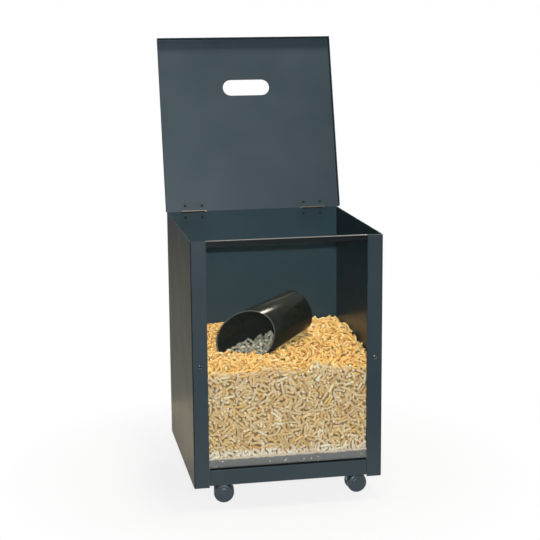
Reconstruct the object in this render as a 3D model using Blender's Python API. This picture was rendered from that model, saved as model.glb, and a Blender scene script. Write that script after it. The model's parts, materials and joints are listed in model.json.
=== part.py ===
"""Pellet storage bin: a sheet steel box on four casters, with a front window, a hinged lid that stands
open, a fill of wood pellets and a loose scoop lying in them.

Metres, +Z up, +Y towards the back. The origin is on the floor, under the middle of the open bin.
"""
import math

import bmesh
import bpy
from mathutils import Matrix, Vector

# Box of folded sheet steel
WIDTH = 0.380
DEPTH = 0.380
POST_HEIGHT = 0.494
SHEET = 0.0015
BEND_RADIUS = 0.0010
BEND_STEPS = 3
POST_WIDTH = 0.0303
REAR_FLANGE = 0.020
BASE_FLANGE = 0.015
GAP = 0.0003

# Floor pan and front rail
PAN_HEIGHT = 0.0562
RAIL_BOTTOM = 0.003
RAIL_HEIGHT = 0.033
RAIL_SHEET = 0.0012
RAIL_END_GAP = 0.0017

# Window
PANE_THICKNESS = 0.004
PANE_OVERLAP = 0.005
PANE_ARRIS = 0.0004
TRIM_HEIGHT = 0.011
TRIM_SHEET = 0.0010
CLIP_LIP = 0.0065
CLIP_EDGE_GAP = 0.0006
CLIP_BEND = 0.0005

# Window screws, one on each post
SCREW_HEIGHT = 0.2475
SCREW_HEAD_RADIUS = 0.0045
SCREW_HEAD_RIM = 0.0007
SCREW_HEAD_DOME = 0.0020
SCREW_RADIUS = 0.0020
SCREW_TIP = 0.0040

# Lid
LID_SHEET = 0.0012
LID_FLANGE = 0.015
LID_SIDE_GAP = 0.0013
LID_OVERHANG = 0.008
LID_SETBACK = 0.0005
LID_LEAN = math.radians(16.0)
HAND_HOLE_LENGTH = 0.104
HAND_HOLE_HEIGHT = 0.035
HAND_HOLE_FROM_FRONT = 0.110

# Hinges
HINGE_LENGTH = 0.051
HINGE_FROM_SIDE = 0.0585
LEAF_WIDTH = 0.020
LEAF_THICKNESS = 0.0012
KNUCKLE_RADIUS = 0.0025
KNUCKLE_ROLL = math.radians(290.0)
KNUCKLE_STEPS = 12
PIN_END = 0.0010
PIN_RISE = 0.0010
RIVET_SPACING = 0.037
RIVET_FROM_PIN = 0.013
RIVET_RADIUS = 0.0015
RIVET_HEAD_RADIUS = 0.0030
RIVET_HEAD_DOME = 0.0012

# Casters
CASTER_HEIGHT = 0.0495
CASTER_INSET = 0.053
CASTER_TRAIL = 0.013
WHEEL_RADIUS = 0.020
WHEEL_WIDTH = 0.011
WHEEL_TREAD = 0.006
WHEEL_EDGE = 0.0016
WHEEL_HUB_DEPTH = 0.008
FORK_WIDTH = 0.0144
FORK_TOP = 0.0435
FORK_GUARD = 0.0010
FORK_WEB = 0.014
FORK_GUARD_END = -20.0
FORK_WEB_END = -170.0
STEM_RADIUS = 0.0040
STEM_WALL = 0.0028
STEM_SOCKET = 0.0190
STEM_COLLAR_RADIUS = 0.0070
STEM_END = 0.0015
NUT_ACROSS = 0.013
NUT_HEIGHT = 0.0065
AXLE_RADIUS = 0.0030
CASTER_TURN = {
    "front_left": math.radians(-8.0),
    "front_right": math.radians(3.0),
    "back_left": math.radians(6.0),
    "back_right": math.radians(-12.0),
}

# Pellets: heights are above the foot of the posts
FILL_FRONT = 0.228
FILL_BACK = 0.242
MOUND_RISE = 0.022
MOUND_RADIUS = 0.070
MOUND_X = 0.095
MOUND_FROM_FRONT = 0.230
HEAP_CELLS = 24

# Single pellets that stand out of the heap, each a short stick sunk in it just below its middle
STICK_RADIUS = 0.003
STICK_RISE = 0.0008
STICK_LENGTHS = (0.013, 0.017, 0.021)
STICK_SPACING = 0.024
STICK_SIDES = 6
STICK_TURN = math.radians(137.5)

# Scoop: a tapered cup with a slanted mouth, its axis running from the mouth to the closed end
SCOOP_MOUTH_RADIUS = 0.053
SCOOP_END_RADIUS = 0.0446
SCOOP_LENGTH = 0.147
SCOOP_WALL = 0.002
SCOOP_END_ROUND = 0.006
SCOOP_X = -0.058
SCOOP_FROM_FRONT = 0.150
SCOOP_ABOVE_FILL = 0.036
SCOOP_AZIMUTH = math.radians(27.3)
SCOOP_TILT = math.radians(16.0)
MOUTH_AZIMUTH = math.radians(240.4)
MOUTH_TILT = math.radians(5.0)

# Facets
ROUND_SIDES = 16
WHEEL_SIDES = 24
SCOOP_SIDES = 32
ARC_STEPS = 8
ROUND_PROFILE = 0.5

# Places that follow from the sizes above
PAN_UNDER = CASTER_HEIGHT + GAP
LEDGE_TOP = PAN_UNDER - GAP
BASE_Z = LEDGE_TOP - SHEET - GAP
TOP_Z = BASE_Z + POST_HEIGHT
PANE_FRONT = SHEET + GAP
PANE_BACK = PANE_FRONT + PANE_THICKNESS
PAN_FRONT = PANE_BACK + GAP
BACK_INNER = DEPTH - 2 * SHEET - GAP
BACK_OUTER = BACK_INNER + SHEET
INNER_HALF = WIDTH / 2 - SHEET
POST_INNER = WIDTH / 2 - POST_WIDTH
RAIL_TOP = BASE_Z + RAIL_BOTTOM + RAIL_HEIGHT
SCREW_X = WIDTH / 2 - POST_WIDTH / 2
SCREW_Z = BASE_Z + SCREW_HEIGHT
PIN_SEAT = KNUCKLE_RADIUS + GAP
PIN_Y = BACK_INNER - PIN_SEAT
PIN_Z = TOP_Z + PIN_RISE
LID_TOP = PIN_SEAT + LID_SHEET
LID_FRONT = -(PIN_Y + LID_OVERHANG)
LID_HALF = WIDTH / 2 + LID_SIDE_GAP + LID_SHEET
LID_OPEN = math.radians(90.0) + LID_LEAN
HINGE_X = WIDTH / 2 - HINGE_FROM_SIDE
PIN_RADIUS = KNUCKLE_RADIUS - LEAF_THICKNESS - GAP
RIVET_HOLE = RIVET_RADIUS + GAP
# The lid's rear upper corner comes down on the back panel's top edge and stops the lid
STOP_DROP = LID_TOP * math.sin(LID_LEAN) - LID_SETBACK * math.cos(LID_LEAN)
BACK_TOP = PIN_Z - STOP_DROP - GAP
# The open lid's rearmost point is the round of its front edge
LID_ROUND = BEND_RADIUS + LID_SHEET
LID_REACH = -LID_FRONT - LID_ROUND
LID_REAR = PIN_Y + LID_REACH * math.sin(LID_LEAN) + (LID_TOP - LID_ROUND) * math.cos(LID_LEAN) + LID_ROUND
SCREW_FRONT = -(GAP + SCREW_HEAD_RIM + SCREW_HEAD_DOME)
FRONT_Y = -(LID_REAR + SCREW_FRONT) / 2
STEM_TOP = PAN_UNDER + SHEET + GAP + NUT_HEIGHT + STEM_END
HEAP_BOTTOM = STEM_TOP + GAP
HEAP_HALF = INNER_HALF - 2 * GAP - SHEET
HEAP_FRONT = PAN_FRONT + SHEET + GAP
HEAP_BACK = BACK_INNER - 2 * GAP - SHEET
STICK_REACH = max(STICK_LENGTHS) / 2 + STICK_RADIUS

CASTER_PLACES = {
    "front_left": (-1, CASTER_INSET),
    "front_right": (1, CASTER_INSET),
    "back_left": (-1, DEPTH - CASTER_INSET),
    "back_right": (1, DEPTH - CASTER_INSET),
}
SIDES = {"left": -1, "right": 1}


def clear_scene():
    for item in list(bpy.data.objects):
        bpy.data.objects.remove(item, do_unlink=True)


def principled(name, color, roughness, metallic=0.0, alpha=1.0):
    material = bpy.data.materials.new(name)
    material.use_nodes = True
    shader = material.node_tree.nodes["Principled BSDF"]
    shader.inputs["Base Color"].default_value = (*color, 1.0)
    shader.inputs["Roughness"].default_value = roughness
    shader.inputs["Metallic"].default_value = metallic
    shader.inputs["Alpha"].default_value = alpha
    material.diffuse_color = (*color, alpha)
    return material


def joint_empty(name, place, turn=(0.0, 0.0, 0.0), parent=None):
    """An empty on a joint's axis, which carries the pieces that move with it."""
    empty = bpy.data.objects.new(name, None)
    empty.empty_display_size = WHEEL_RADIUS
    empty.location = place
    empty.rotation_euler = turn
    empty.parent = parent
    bpy.context.collection.objects.link(empty)
    return empty


def piece(name, shape, finish, parent, smooth_angle=35.0):
    """Turns a bmesh into a named object with its own material."""
    bmesh.ops.recalc_face_normals(shape, faces=shape.faces)
    mesh = bpy.data.meshes.new(name)
    shape.to_mesh(mesh)
    shape.free()
    mesh.shade_smooth()
    mesh.set_sharp_from_angle(angle=math.radians(smooth_angle))
    mesh.materials.append(principled(name, *finish))
    item = bpy.data.objects.new(name, mesh)
    item.parent = parent
    bpy.context.collection.objects.link(item)
    return item


def shape_with(item, name, shape, operation="DIFFERENCE"):
    """Adds a Boolean to a piece, worked by a hidden helper with the same parent."""
    bmesh.ops.recalc_face_normals(shape, faces=shape.faces)
    mesh = bpy.data.meshes.new(name)
    shape.to_mesh(mesh)
    shape.free()
    helper = bpy.data.objects.new(name, mesh)
    helper.parent = item.parent
    helper.hide_render = True
    helper.display_type = "WIRE"
    bpy.context.collection.objects.link(helper)
    modifier = item.modifiers.new(name, "BOOLEAN")
    modifier.operation = operation
    modifier.solver = "EXACT"
    modifier.object = helper


def box(low, high):
    shape = bmesh.new()
    size = [h - l for l, h in zip(low, high)]
    centre = [(h + l) / 2 for l, h in zip(low, high)]
    place = Matrix.Translation(centre) @ Matrix.Diagonal((*size, 1.0))
    bmesh.ops.create_cube(shape, size=1.0, matrix=place)
    return shape


def prism(outline, axis, low, high):
    """A flat outline drawn out along one axis."""
    places = {
        "X": lambda u, v, w: (w, u, v),
        "Y": lambda u, v, w: (u, w, v),
        "Z": lambda u, v, w: (u, v, w),
    }
    place = places[axis]
    shape = bmesh.new()
    first = [shape.verts.new(place(u, v, low)) for u, v in outline]
    last = [shape.verts.new(place(u, v, high)) for u, v in outline]
    shape.faces.new(first)
    shape.faces.new(last)
    for i in range(len(outline)):
        shape.faces.new((first[i - 1], first[i], last[i], last[i - 1]))
    return shape


def arc(centre, radius, start, end, steps):
    """Points of an arc, angles in degrees."""
    angles = [math.radians(start + (end - start) * i / steps) for i in range(steps + 1)]
    return [(centre[0] + radius * math.cos(a), centre[1] + radius * math.sin(a)) for a in angles]


def folded_outline(path, thickness, inside_radius):
    """Outline of a folded sheet whose middle line follows the path, with round bends."""
    radius = inside_radius + thickness / 2
    points = [Vector(p) for p in path]
    heading = [(b - a).normalized() for a, b in zip(points, points[1:])]
    line = [(points[0], Vector((-heading[0].y, heading[0].x)))]
    for before, after, corner in zip(heading, heading[1:], points[1:]):
        angle = math.atan2(before.y, before.x)
        turn = math.atan2(before.cross(after), before.dot(after))
        side = math.copysign(1.0, turn)
        start = corner - before * radius * math.tan(abs(turn) / 2)
        centre = start + Vector((-before.y, before.x)) * radius * side
        for i in range(BEND_STEPS + 1):
            a = angle + turn * i / BEND_STEPS
            normal = Vector((-math.sin(a), math.cos(a)))
            line.append((centre - normal * radius * side, normal))
    line.append((points[-1], Vector((-heading[-1].y, heading[-1].x))))
    near = [tuple(p + n * thickness / 2) for p, n in line]
    far = [tuple(p - n * thickness / 2) for p, n in line]
    return near + far[::-1]


def turned(profile, sides, place=Matrix.Identity(4)):
    """A solid turned about Z from (radius, height) points; the profile starts and ends on the axis."""
    shape = bmesh.new()
    rings = []
    for radius, height in profile:
        if radius == 0:
            rings.append([shape.verts.new((0, 0, height))])
            continue
        spots = [2 * math.pi * i / sides for i in range(sides)]
        rings.append([shape.verts.new((radius * math.cos(a), radius * math.sin(a), height)) for a in spots])
    for lower, upper in zip(rings, rings[1:]):
        for i in range(sides):
            corners = [lower[i - 1 if len(lower) > 1 else 0], lower[i if len(lower) > 1 else 0]]
            corners += [upper[i if len(upper) > 1 else 0], upper[i - 1 if len(upper) > 1 else 0]]
            unique = list(dict.fromkeys(corners))
            if len(unique) > 2:
                shape.faces.new(unique)
    bmesh.ops.transform(shape, matrix=place, verts=shape.verts)
    return shape


def rod(radius, low, high, place=Matrix.Identity(4), sides=ROUND_SIDES):
    return turned([(0, low), (radius, low), (radius, high), (0, high)], sides, place)


def gathered(shapes):
    """Several shapes as one."""
    whole = bmesh.new()
    for shape in shapes:
        mesh = bpy.data.meshes.new("gathered")
        shape.to_mesh(mesh)
        shape.free()
        whole.from_mesh(mesh)
        bpy.data.meshes.remove(mesh)
    return whole


def dome(radius, base, height, steps=3):
    """Profile points of a low dome, from its rim up to the axis."""
    angles = [math.pi / 2 * i / steps for i in range(steps + 1)]
    points = [(radius * math.cos(a), base + height * math.sin(a)) for a in angles[:-1]]
    return points + [(0, base + height)]


def pointing(direction, place):
    """Turns local +Z to a direction and moves it to a place."""
    turn = Vector((0, 0, 1)).rotation_difference(Vector(direction)).to_matrix().to_4x4()
    return Matrix.Translation(place) @ turn


PAINT = ((0.045, 0.055, 0.062), 0.45, 0.0)
LEAF_PAINT = ((0.050, 0.060, 0.066), 0.42, 0.0)
STEEL = ((0.62, 0.60, 0.56), 0.32, 1.0)
DARK_SCREW = ((0.030, 0.032, 0.034), 0.30, 0.6)
TRIM_GREY = ((0.080, 0.088, 0.092), 0.40, 0.0)
GLASS = ((0.80, 0.86, 0.86), 0.03, 0.0, 0.25)
CASTER_BLACK = ((0.020, 0.024, 0.028), 0.38, 0.0)
PELLET = ((0.62, 0.40, 0.17), 0.75, 0.0)
SCOOP_BLACK = ((0.012, 0.012, 0.011), 0.18, 0.0)


def side_panel(side, sign, frame):
    """A wall folded round at the front as the post, at the back as a flange and at the foot as a ledge."""
    middle = WIDTH / 2 - SHEET / 2
    path = [
        (sign * POST_INNER, SHEET / 2),
        (sign * middle, SHEET / 2),
        (sign * middle, DEPTH - SHEET / 2),
        (sign * (WIDTH / 2 - REAR_FLANGE), DEPTH - SHEET / 2),
    ]
    outline = folded_outline(path, SHEET, BEND_RADIUS)
    panel = piece(f"{side}_side_panel", prism(outline, "Z", BASE_Z, TOP_Z), PAINT, frame)
    xs = sorted((sign * middle, sign * (WIDTH / 2 - BASE_FLANGE)))
    ledge = box((xs[0], SHEET / 2, LEDGE_TOP - SHEET), (xs[1], DEPTH - SHEET / 2, LEDGE_TOP))
    shape_with(panel, f"{side}_ledge", ledge, "UNION")
    hole = rod(SCREW_RADIUS + GAP, -SHEET, 2 * SHEET, pointing((0, 1, 0), (sign * SCREW_X, 0, SCREW_Z)))
    shape_with(panel, f"{side}_post_hole", hole)


def back_panel(frame):
    half = INNER_HALF - BEND_RADIUS
    low = (-half, BACK_INNER, LEDGE_TOP + GAP)
    panel = piece("back_panel", box(low, (half, BACK_OUTER, BACK_TOP)), PAINT, frame)
    for hinge, sign in SIDES.items():
        for mark, x in rivet_places(sign):
            place = pointing((0, 1, 0), (x, BACK_INNER, PIN_Z - RIVET_FROM_PIN))
            hole = rod(RIVET_HOLE, -SHEET, 2 * SHEET, place)
            shape_with(panel, f"back_hole_{hinge}_{mark}", hole)


def floor_pan(frame):
    """An open tray that carries the pellets, the window's foot and the casters."""
    half = INNER_HALF - GAP
    low = Vector((-half, PAN_FRONT, PAN_UNDER))
    high = Vector((half, BACK_INNER - GAP, PAN_UNDER + PAN_HEIGHT))
    pan = piece("floor_pan", box(low, high), PAINT, frame)
    inset = Vector((SHEET, SHEET, SHEET))
    hollow = box(low + inset, high + Vector((-SHEET, -SHEET, SHEET)))
    shape_with(pan, "pan_hollow", hollow)
    for corner, (sign, y) in CASTER_PLACES.items():
        place = Matrix.Translation((sign * (WIDTH / 2 - CASTER_INSET), y, PAN_UNDER))
        shape_with(pan, f"pan_hole_{corner}", rod(STEM_RADIUS + GAP, -SHEET, 2 * SHEET, place))


def front_rail(frame):
    """A channel across the foot of the window; the pane stands on its upper lip."""
    low = BASE_Z + RAIL_BOTTOM + RAIL_SHEET / 2
    high = RAIL_TOP - RAIL_SHEET / 2
    back = PAN_FRONT - GAP
    path = [(back, high), (RAIL_SHEET / 2, high), (RAIL_SHEET / 2, low), (back, low)]
    outline = folded_outline(path, RAIL_SHEET, BEND_RADIUS)
    half = POST_INNER - RAIL_END_GAP
    piece("front_rail", prism(outline, "X", -half, half), PAINT, frame)


def window(frame):
    half = POST_INNER + PANE_OVERLAP
    pane_top = TOP_Z - TRIM_SHEET - GAP
    pane = box((-half, PANE_FRONT, RAIL_TOP + GAP), (half, PANE_BACK, pane_top))
    bmesh.ops.bevel(pane, geom=pane.edges[:], offset=PANE_ARRIS, segments=1, affect="EDGES")
    piece("window_pane", pane, GLASS, frame)
    trim_front = PANE_FRONT - GAP - TRIM_SHEET / 2
    trim_back = PANE_BACK + GAP + TRIM_SHEET / 2
    low = TOP_Z - TRIM_HEIGHT
    web = TOP_Z - TRIM_SHEET / 2
    path = [(trim_front, low), (trim_front, web), (trim_back, web), (trim_back, low)]
    outline = folded_outline(path, TRIM_SHEET, CLIP_BEND)
    trim_half = POST_INNER - GAP
    piece("window_top_trim", prism(outline, "X", -trim_half, trim_half), TRIM_GREY, frame)
    for side, sign in SIDES.items():
        window_clip(side, sign, frame)
        window_screw(side, sign, frame)


def window_clip(side, sign, frame):
    """A strip behind the post, stepped over the pane's edge to hold it against the post."""
    near = PANE_FRONT + SHEET / 2
    far = PANE_BACK + GAP + SHEET / 2
    step = POST_INNER + PANE_OVERLAP + CLIP_EDGE_GAP + SHEET / 2
    outer = INNER_HALF - SHEET
    path = [(sign * outer, near), (sign * step, near), (sign * step, far), (sign * (step - CLIP_LIP), far)]
    outline = folded_outline(path, SHEET, CLIP_BEND)
    low = PAN_UNDER + PAN_HEIGHT + GAP
    clip = piece(f"window_clip_{side}", prism(outline, "Z", low, TOP_Z - TRIM_HEIGHT - GAP), PAINT, frame)
    place = pointing((0, 1, 0), (sign * SCREW_X, PANE_FRONT, SCREW_Z))
    shape_with(clip, f"clip_hole_{side}", rod(SCREW_RADIUS + GAP, -SHEET, 2 * SHEET, place))


def window_screw(side, sign, frame):
    tip = -(2 * SHEET + SCREW_TIP)
    profile = [(0, tip), (SCREW_RADIUS, tip), (SCREW_RADIUS, 0), (SCREW_HEAD_RADIUS, 0)]
    profile += dome(SCREW_HEAD_RADIUS, SCREW_HEAD_RIM, SCREW_HEAD_DOME)
    place = pointing((0, -1, 0), (sign * SCREW_X, -GAP, SCREW_Z))
    piece(f"window_screw_{side}", turned(profile, ROUND_SIDES, place), DARK_SCREW, frame)


def rivet_places(sign):
    centre = sign * HINGE_X
    return (("a", centre - RIVET_SPACING / 2), ("b", centre + RIVET_SPACING / 2))


def rivet(name, place, grip, parent):
    """A solid rivet, domed on both sides; local +Z is its inner head."""
    half = grip / 2 + GAP
    head = dome(RIVET_HEAD_RADIUS, half, RIVET_HEAD_DOME)
    tail = [(r, -z) for r, z in reversed(head)]
    profile = tail + [(RIVET_RADIUS, -half), (RIVET_RADIUS, half)] + head
    piece(name, turned(profile, ROUND_SIDES, place), LEAF_PAINT, parent)


def rolled_leaf(name, spans, rolled, place, parent):
    """A sheet leaf whose edge is rolled round the pin in some of its spans along X.

    The sheet is laid out in cells along its middle line, from the free edge to the end of the roll.
    """
    middle = KNUCKLE_RADIUS - LEAF_THICKNESS / 2
    line = [((middle, -LEAF_WIDTH), (1.0, 0.0)), ((middle, -PIN_SEAT), (1.0, 0.0))]
    for i in range(KNUCKLE_STEPS + 1):
        a = KNUCKLE_ROLL * i / KNUCKLE_STEPS
        line.append(((middle * math.cos(a), middle * math.sin(a)), (math.cos(a), math.sin(a))))
    shape = bmesh.new()
    corners = {}

    def corner(step, face, edge):
        key = (step, face, edge)
        if key not in corners:
            (u, w), (nu, nw) = line[step]
            shift = face * LEAF_THICKNESS / 2
            corners[key] = shape.verts.new(place(spans[edge], u + nu * shift, w + nw * shift))
        return corners[key]

    def filled(step, span):
        inside = 0 <= step < len(line) - 1 and 0 <= span < len(spans) - 1
        return inside and (step == 0 or span in rolled)

    for step in range(len(line) - 1):
        for span in range(len(spans) - 1):
            if not filled(step, span):
                continue
            for face in (-1, 1):
                ring = ((step, span), (step + 1, span), (step + 1, span + 1), (step, span + 1))
                shape.faces.new([corner(s, face, e) for s, e in ring])
            for beside, edge in ((span - 1, span), (span + 1, span + 1)):
                if not filled(step, beside):
                    ring = ((step, -1), (step + 1, -1), (step + 1, 1), (step, 1))
                    shape.faces.new([corner(s, f, edge) for s, f in ring])
            for beside, end in ((step - 1, step), (step + 1, step + 1)):
                if not filled(beside, span):
                    ring = ((-1, span), (1, span), (1, span + 1), (-1, span + 1))
                    shape.faces.new([corner(end, f, e) for f, e in ring])
    return piece(name, shape, LEAF_PAINT, parent)


def hinge(side, sign, pin_frame, lid_frame):
    centre = sign * HINGE_X
    half, third = HINGE_LENGTH / 2, HINGE_LENGTH / 6
    inner = KNUCKLE_RADIUS - LEAF_THICKNESS
    grip = LEAF_THICKNESS + GAP + SHEET
    name = f"hinge_{side}_body_leaf"
    spans = [centre + x for x in (-half, -third - GAP / 2, third + GAP / 2, half)]
    leaf = rolled_leaf(name, spans, (0, 2), lambda x, u, w: (x, u, w), pin_frame)
    for mark, x in rivet_places(sign):
        place = pointing((0, -1, 0), (x, inner + grip / 2, -RIVET_FROM_PIN))
        shape_with(leaf, f"{name}_hole_{mark}", rod(RIVET_HOLE, -grip, grip, place))
        rivet(f"hinge_{side}_body_rivet_{mark}", place, grip, pin_frame)
    name = f"hinge_{side}_lid_leaf"
    grip = LEAF_THICKNESS + GAP + LID_SHEET
    spans = [centre + x for x in (-half, -third + GAP / 2, third - GAP / 2, half)]
    leaf = rolled_leaf(name, spans, (1,), lambda x, u, w: (x, w, u), lid_frame)
    for mark, x in rivet_places(sign):
        place = pointing((0, 0, -1), (x, -RIVET_FROM_PIN, inner + grip / 2))
        shape_with(leaf, f"{name}_hole_{mark}", rod(RIVET_HOLE, -grip, grip, place))
        rivet(f"hinge_{side}_lid_rivet_{mark}", place, grip, lid_frame)
    reach = half + PIN_END
    pin = rod(PIN_RADIUS, -reach, reach, pointing((1, 0, 0), (centre, 0, 0)))
    piece(f"hinge_{side}_pin", pin, STEEL, pin_frame)


def lid_panel(lid_frame):
    """A shallow cap with a flange on three sides, open at the hinge, with a hand hole."""
    low = (-LID_HALF, LID_FRONT, LID_TOP - LID_FLANGE)
    shape = box(low, (LID_HALF, -LID_SETBACK, LID_TOP))
    round_lid_folds(shape, LID_TOP, LID_ROUND)
    lid = piece("lid_panel", shape, PAINT, lid_frame)
    inner_half = LID_HALF - LID_SHEET
    hollow = box(
        (-inner_half, LID_FRONT + LID_SHEET, LID_TOP - 2 * LID_FLANGE),
        (inner_half, LID_FLANGE, PIN_SEAT),
    )
    round_lid_folds(hollow, PIN_SEAT, BEND_RADIUS)
    shape_with(lid, "lid_hollow", hollow)
    radius = HAND_HOLE_HEIGHT / 2
    reach = HAND_HOLE_LENGTH / 2 - radius
    y = LID_FRONT + HAND_HOLE_FROM_FRONT
    outline = arc((reach, y), radius, -90, 90, ARC_STEPS) + arc((-reach, y), radius, 90, 270, ARC_STEPS)
    shape_with(lid, "lid_hand_hole", prism(outline, "Z", 0, 2 * LID_TOP))
    for side, sign in SIDES.items():
        for mark, x in rivet_places(sign):
            place = Matrix.Translation((x, -RIVET_FROM_PIN, 0))
            shape_with(lid, f"lid_hole_{side}_{mark}", rod(RIVET_HOLE, 0, 2 * LID_TOP, place))


def round_lid_folds(shape, top, radius):
    """Rounds the upper edges along the left, right and front, where the sheet is folded down."""
    folds = []
    for edge in shape.edges:
        heights = [abs(v.co.z - top) for v in edge.verts]
        middle = (edge.verts[0].co + edge.verts[1].co) / 2
        at_rear = abs(middle.x) < WIDTH / 4 and middle.y > LID_FRONT / 2
        if max(heights) < GAP and not at_rear:
            folds.append(edge)
    bmesh.ops.bevel(
        shape, geom=folds, offset=radius, segments=BEND_STEPS, profile=ROUND_PROFILE, affect="EDGES"
    )


def caster(corner, frame):
    sign, y = CASTER_PLACES[corner]
    place = (sign * (WIDTH / 2 - CASTER_INSET), y, 0.0)
    name = f"caster_{corner}"
    fixed = joint_empty(f"{name}_seat", place, parent=frame)
    swivel = joint_empty(f"{name}_swivel", place, (0.0, 0.0, CASTER_TURN[corner]), frame)
    caster_stem(name, fixed)
    caster_fork(name, swivel)
    hub = joint_empty(f"{name}_hub", (CASTER_TRAIL, 0.0, WHEEL_RADIUS), parent=swivel)
    axle_half = FORK_WIDTH / 2 + WHEEL_HUB_DEPTH
    axle = rod(AXLE_RADIUS, -axle_half, axle_half, pointing((0, 1, 0), (0, 0, 0)))
    piece(f"{name}_axle", axle, STEEL, hub)
    for mark, direction in (("a", -1), ("b", 1)):
        caster_wheel(f"{name}_wheel_{mark}", direction, hub)


def caster_stem(name, fixed):
    foot = FORK_TOP - STEM_SOCKET + GAP
    collar = FORK_TOP + GAP
    profile = [(0, foot), (STEM_RADIUS, foot), (STEM_RADIUS, collar), (STEM_COLLAR_RADIUS, collar)]
    profile += [(STEM_COLLAR_RADIUS, CASTER_HEIGHT), (STEM_RADIUS, CASTER_HEIGHT)]
    profile += [(STEM_RADIUS, STEM_TOP), (0, STEM_TOP)]
    piece(f"{name}_stem", turned(profile, ROUND_SIDES), STEEL, fixed)
    low = PAN_UNDER + SHEET + GAP
    hexagon = arc((0, 0), NUT_ACROSS / math.sqrt(3), 0, 300, 5)
    nut = piece(f"{name}_nut", prism(hexagon, "Z", low, low + NUT_HEIGHT), STEEL, fixed)
    shape_with(nut, f"{name}_nut_thread", rod(STEM_RADIUS + GAP, low - SHEET, low + NUT_HEIGHT + SHEET))


def caster_fork(name, swivel):
    """The body between the wheels: a socket for the stem, a web on the axle and a guard over the top."""
    socket = STEM_RADIUS + STEM_WALL
    hub = (CASTER_TRAIL, WHEEL_RADIUS)
    guard = WHEEL_RADIUS + FORK_GUARD
    meet = math.degrees(math.acos((socket - CASTER_TRAIL) / guard))
    floor = FORK_TOP - STEM_SOCKET - STEM_WALL / 2
    outline = [(-socket, FORK_TOP), (socket, FORK_TOP)]
    outline += arc(hub, guard, meet, FORK_GUARD_END, ARC_STEPS)
    outline += arc(hub, FORK_WEB, FORK_GUARD_END, FORK_WEB_END, ARC_STEPS)
    outline += [(-socket, floor)]
    shape = prism(outline, "Y", -FORK_WIDTH / 2, FORK_WIDTH / 2)
    fork = piece(f"{name}_fork", shape, CASTER_BLACK, swivel)
    bore = rod(STEM_RADIUS + GAP, FORK_TOP - STEM_SOCKET, FORK_TOP + STEM_SOCKET)
    shape_with(fork, f"{name}_socket", bore)
    across = pointing((0, 1, 0), (CASTER_TRAIL, 0, WHEEL_RADIUS))
    shape_with(fork, f"{name}_axle_bore", rod(AXLE_RADIUS + GAP, -FORK_WIDTH, FORK_WIDTH, across))


def caster_wheel(name, direction, hub):
    """A plain wheel with a rounded tread, a domed outer face and a blind bore."""
    bore = AXLE_RADIUS + GAP
    profile = [(0, WHEEL_HUB_DEPTH), (bore, WHEEL_HUB_DEPTH), (bore, 0)]
    profile += [(WHEEL_RADIUS - WHEEL_EDGE, 0), (WHEEL_RADIUS, WHEEL_EDGE)]
    profile += dome(WHEEL_RADIUS, WHEEL_TREAD, WHEEL_WIDTH - WHEEL_TREAD, steps=5)
    place = pointing((0, direction, 0), (0, direction * (FORK_WIDTH / 2 + GAP), 0))
    piece(name, turned(profile, WHEEL_SIDES, place), CASTER_BLACK, hub)


def heap_height(x, y):
    """Height of the pellets above the foot of the posts: a gentle rise to the back and a mound."""
    rise = (y - HEAP_FRONT) / (HEAP_BACK - HEAP_FRONT)
    level = FILL_FRONT + (FILL_BACK - FILL_FRONT) * rise
    away = (x - MOUND_X) ** 2 + (y - MOUND_FROM_FRONT) ** 2
    return level + MOUND_RISE * math.exp(-away / (2 * MOUND_RADIUS ** 2))


def pellet_heap(frame):
    """The fill as one solid, hollowed where the scoop lies so that the scoop lifts straight out."""
    shape = bmesh.new()
    xs = [HEAP_HALF * (2 * i / HEAP_CELLS - 1) for i in range(HEAP_CELLS + 1)]
    ys = [HEAP_FRONT + (HEAP_BACK - HEAP_FRONT) * i / HEAP_CELLS for i in range(HEAP_CELLS + 1)]
    top = [[shape.verts.new((x, y, BASE_Z + heap_height(x, y))) for x in xs] for y in ys]
    for near, far in zip(top, top[1:]):
        for i in range(HEAP_CELLS):
            shape.faces.new((near[i], near[i + 1], far[i + 1], far[i]))
    rims = (top[0], [row[-1] for row in top], top[-1][::-1], [row[0] for row in top[::-1]])
    foot = [shape.verts.new((rim[0].co.x, rim[0].co.y, HEAP_BOTTOM)) for rim in rims]
    for i, rim in enumerate(rims):
        shape.faces.new((*rim, foot[(i + 1) % len(foot)], foot[i]))
    shape.faces.new(foot)
    heap = piece("pellet_heap", shape, PELLET, frame, smooth_angle=50.0)
    shape_with(heap, "top_sticks", gathered(top_sticks()), "UNION")
    shape_with(heap, "pane_sticks", gathered(pane_sticks()), "UNION")
    shape_with(heap, "scoop_bed", scoop_path())


def stick_runs(low, high):
    """Sticks as (start, end) on a staggered grid over a flat span, every one with another heading."""
    columns, rows = (max(1, int((end - start) / STICK_SPACING)) for start, end in zip(low, high))
    runs = []
    for i in range(columns * rows):
        row, column = divmod(i, columns)
        stagger = 0.25 if row % 2 else -0.25
        shares = ((column + 0.5 + stagger) / columns, (row + 0.5) / rows)
        middle = Vector([start + (end - start) * share for start, end, share in zip(low, high, shares)])
        length = STICK_LENGTHS[i % len(STICK_LENGTHS)]
        half = Vector((math.cos(STICK_TURN * i), math.sin(STICK_TURN * i))) * length / 2
        runs.append((middle - half, middle + half))
    return runs


def stick(start, end):
    along = Vector(end) - Vector(start)
    return rod(STICK_RADIUS, 0.0, along.length, pointing(along, start), STICK_SIDES)


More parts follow.
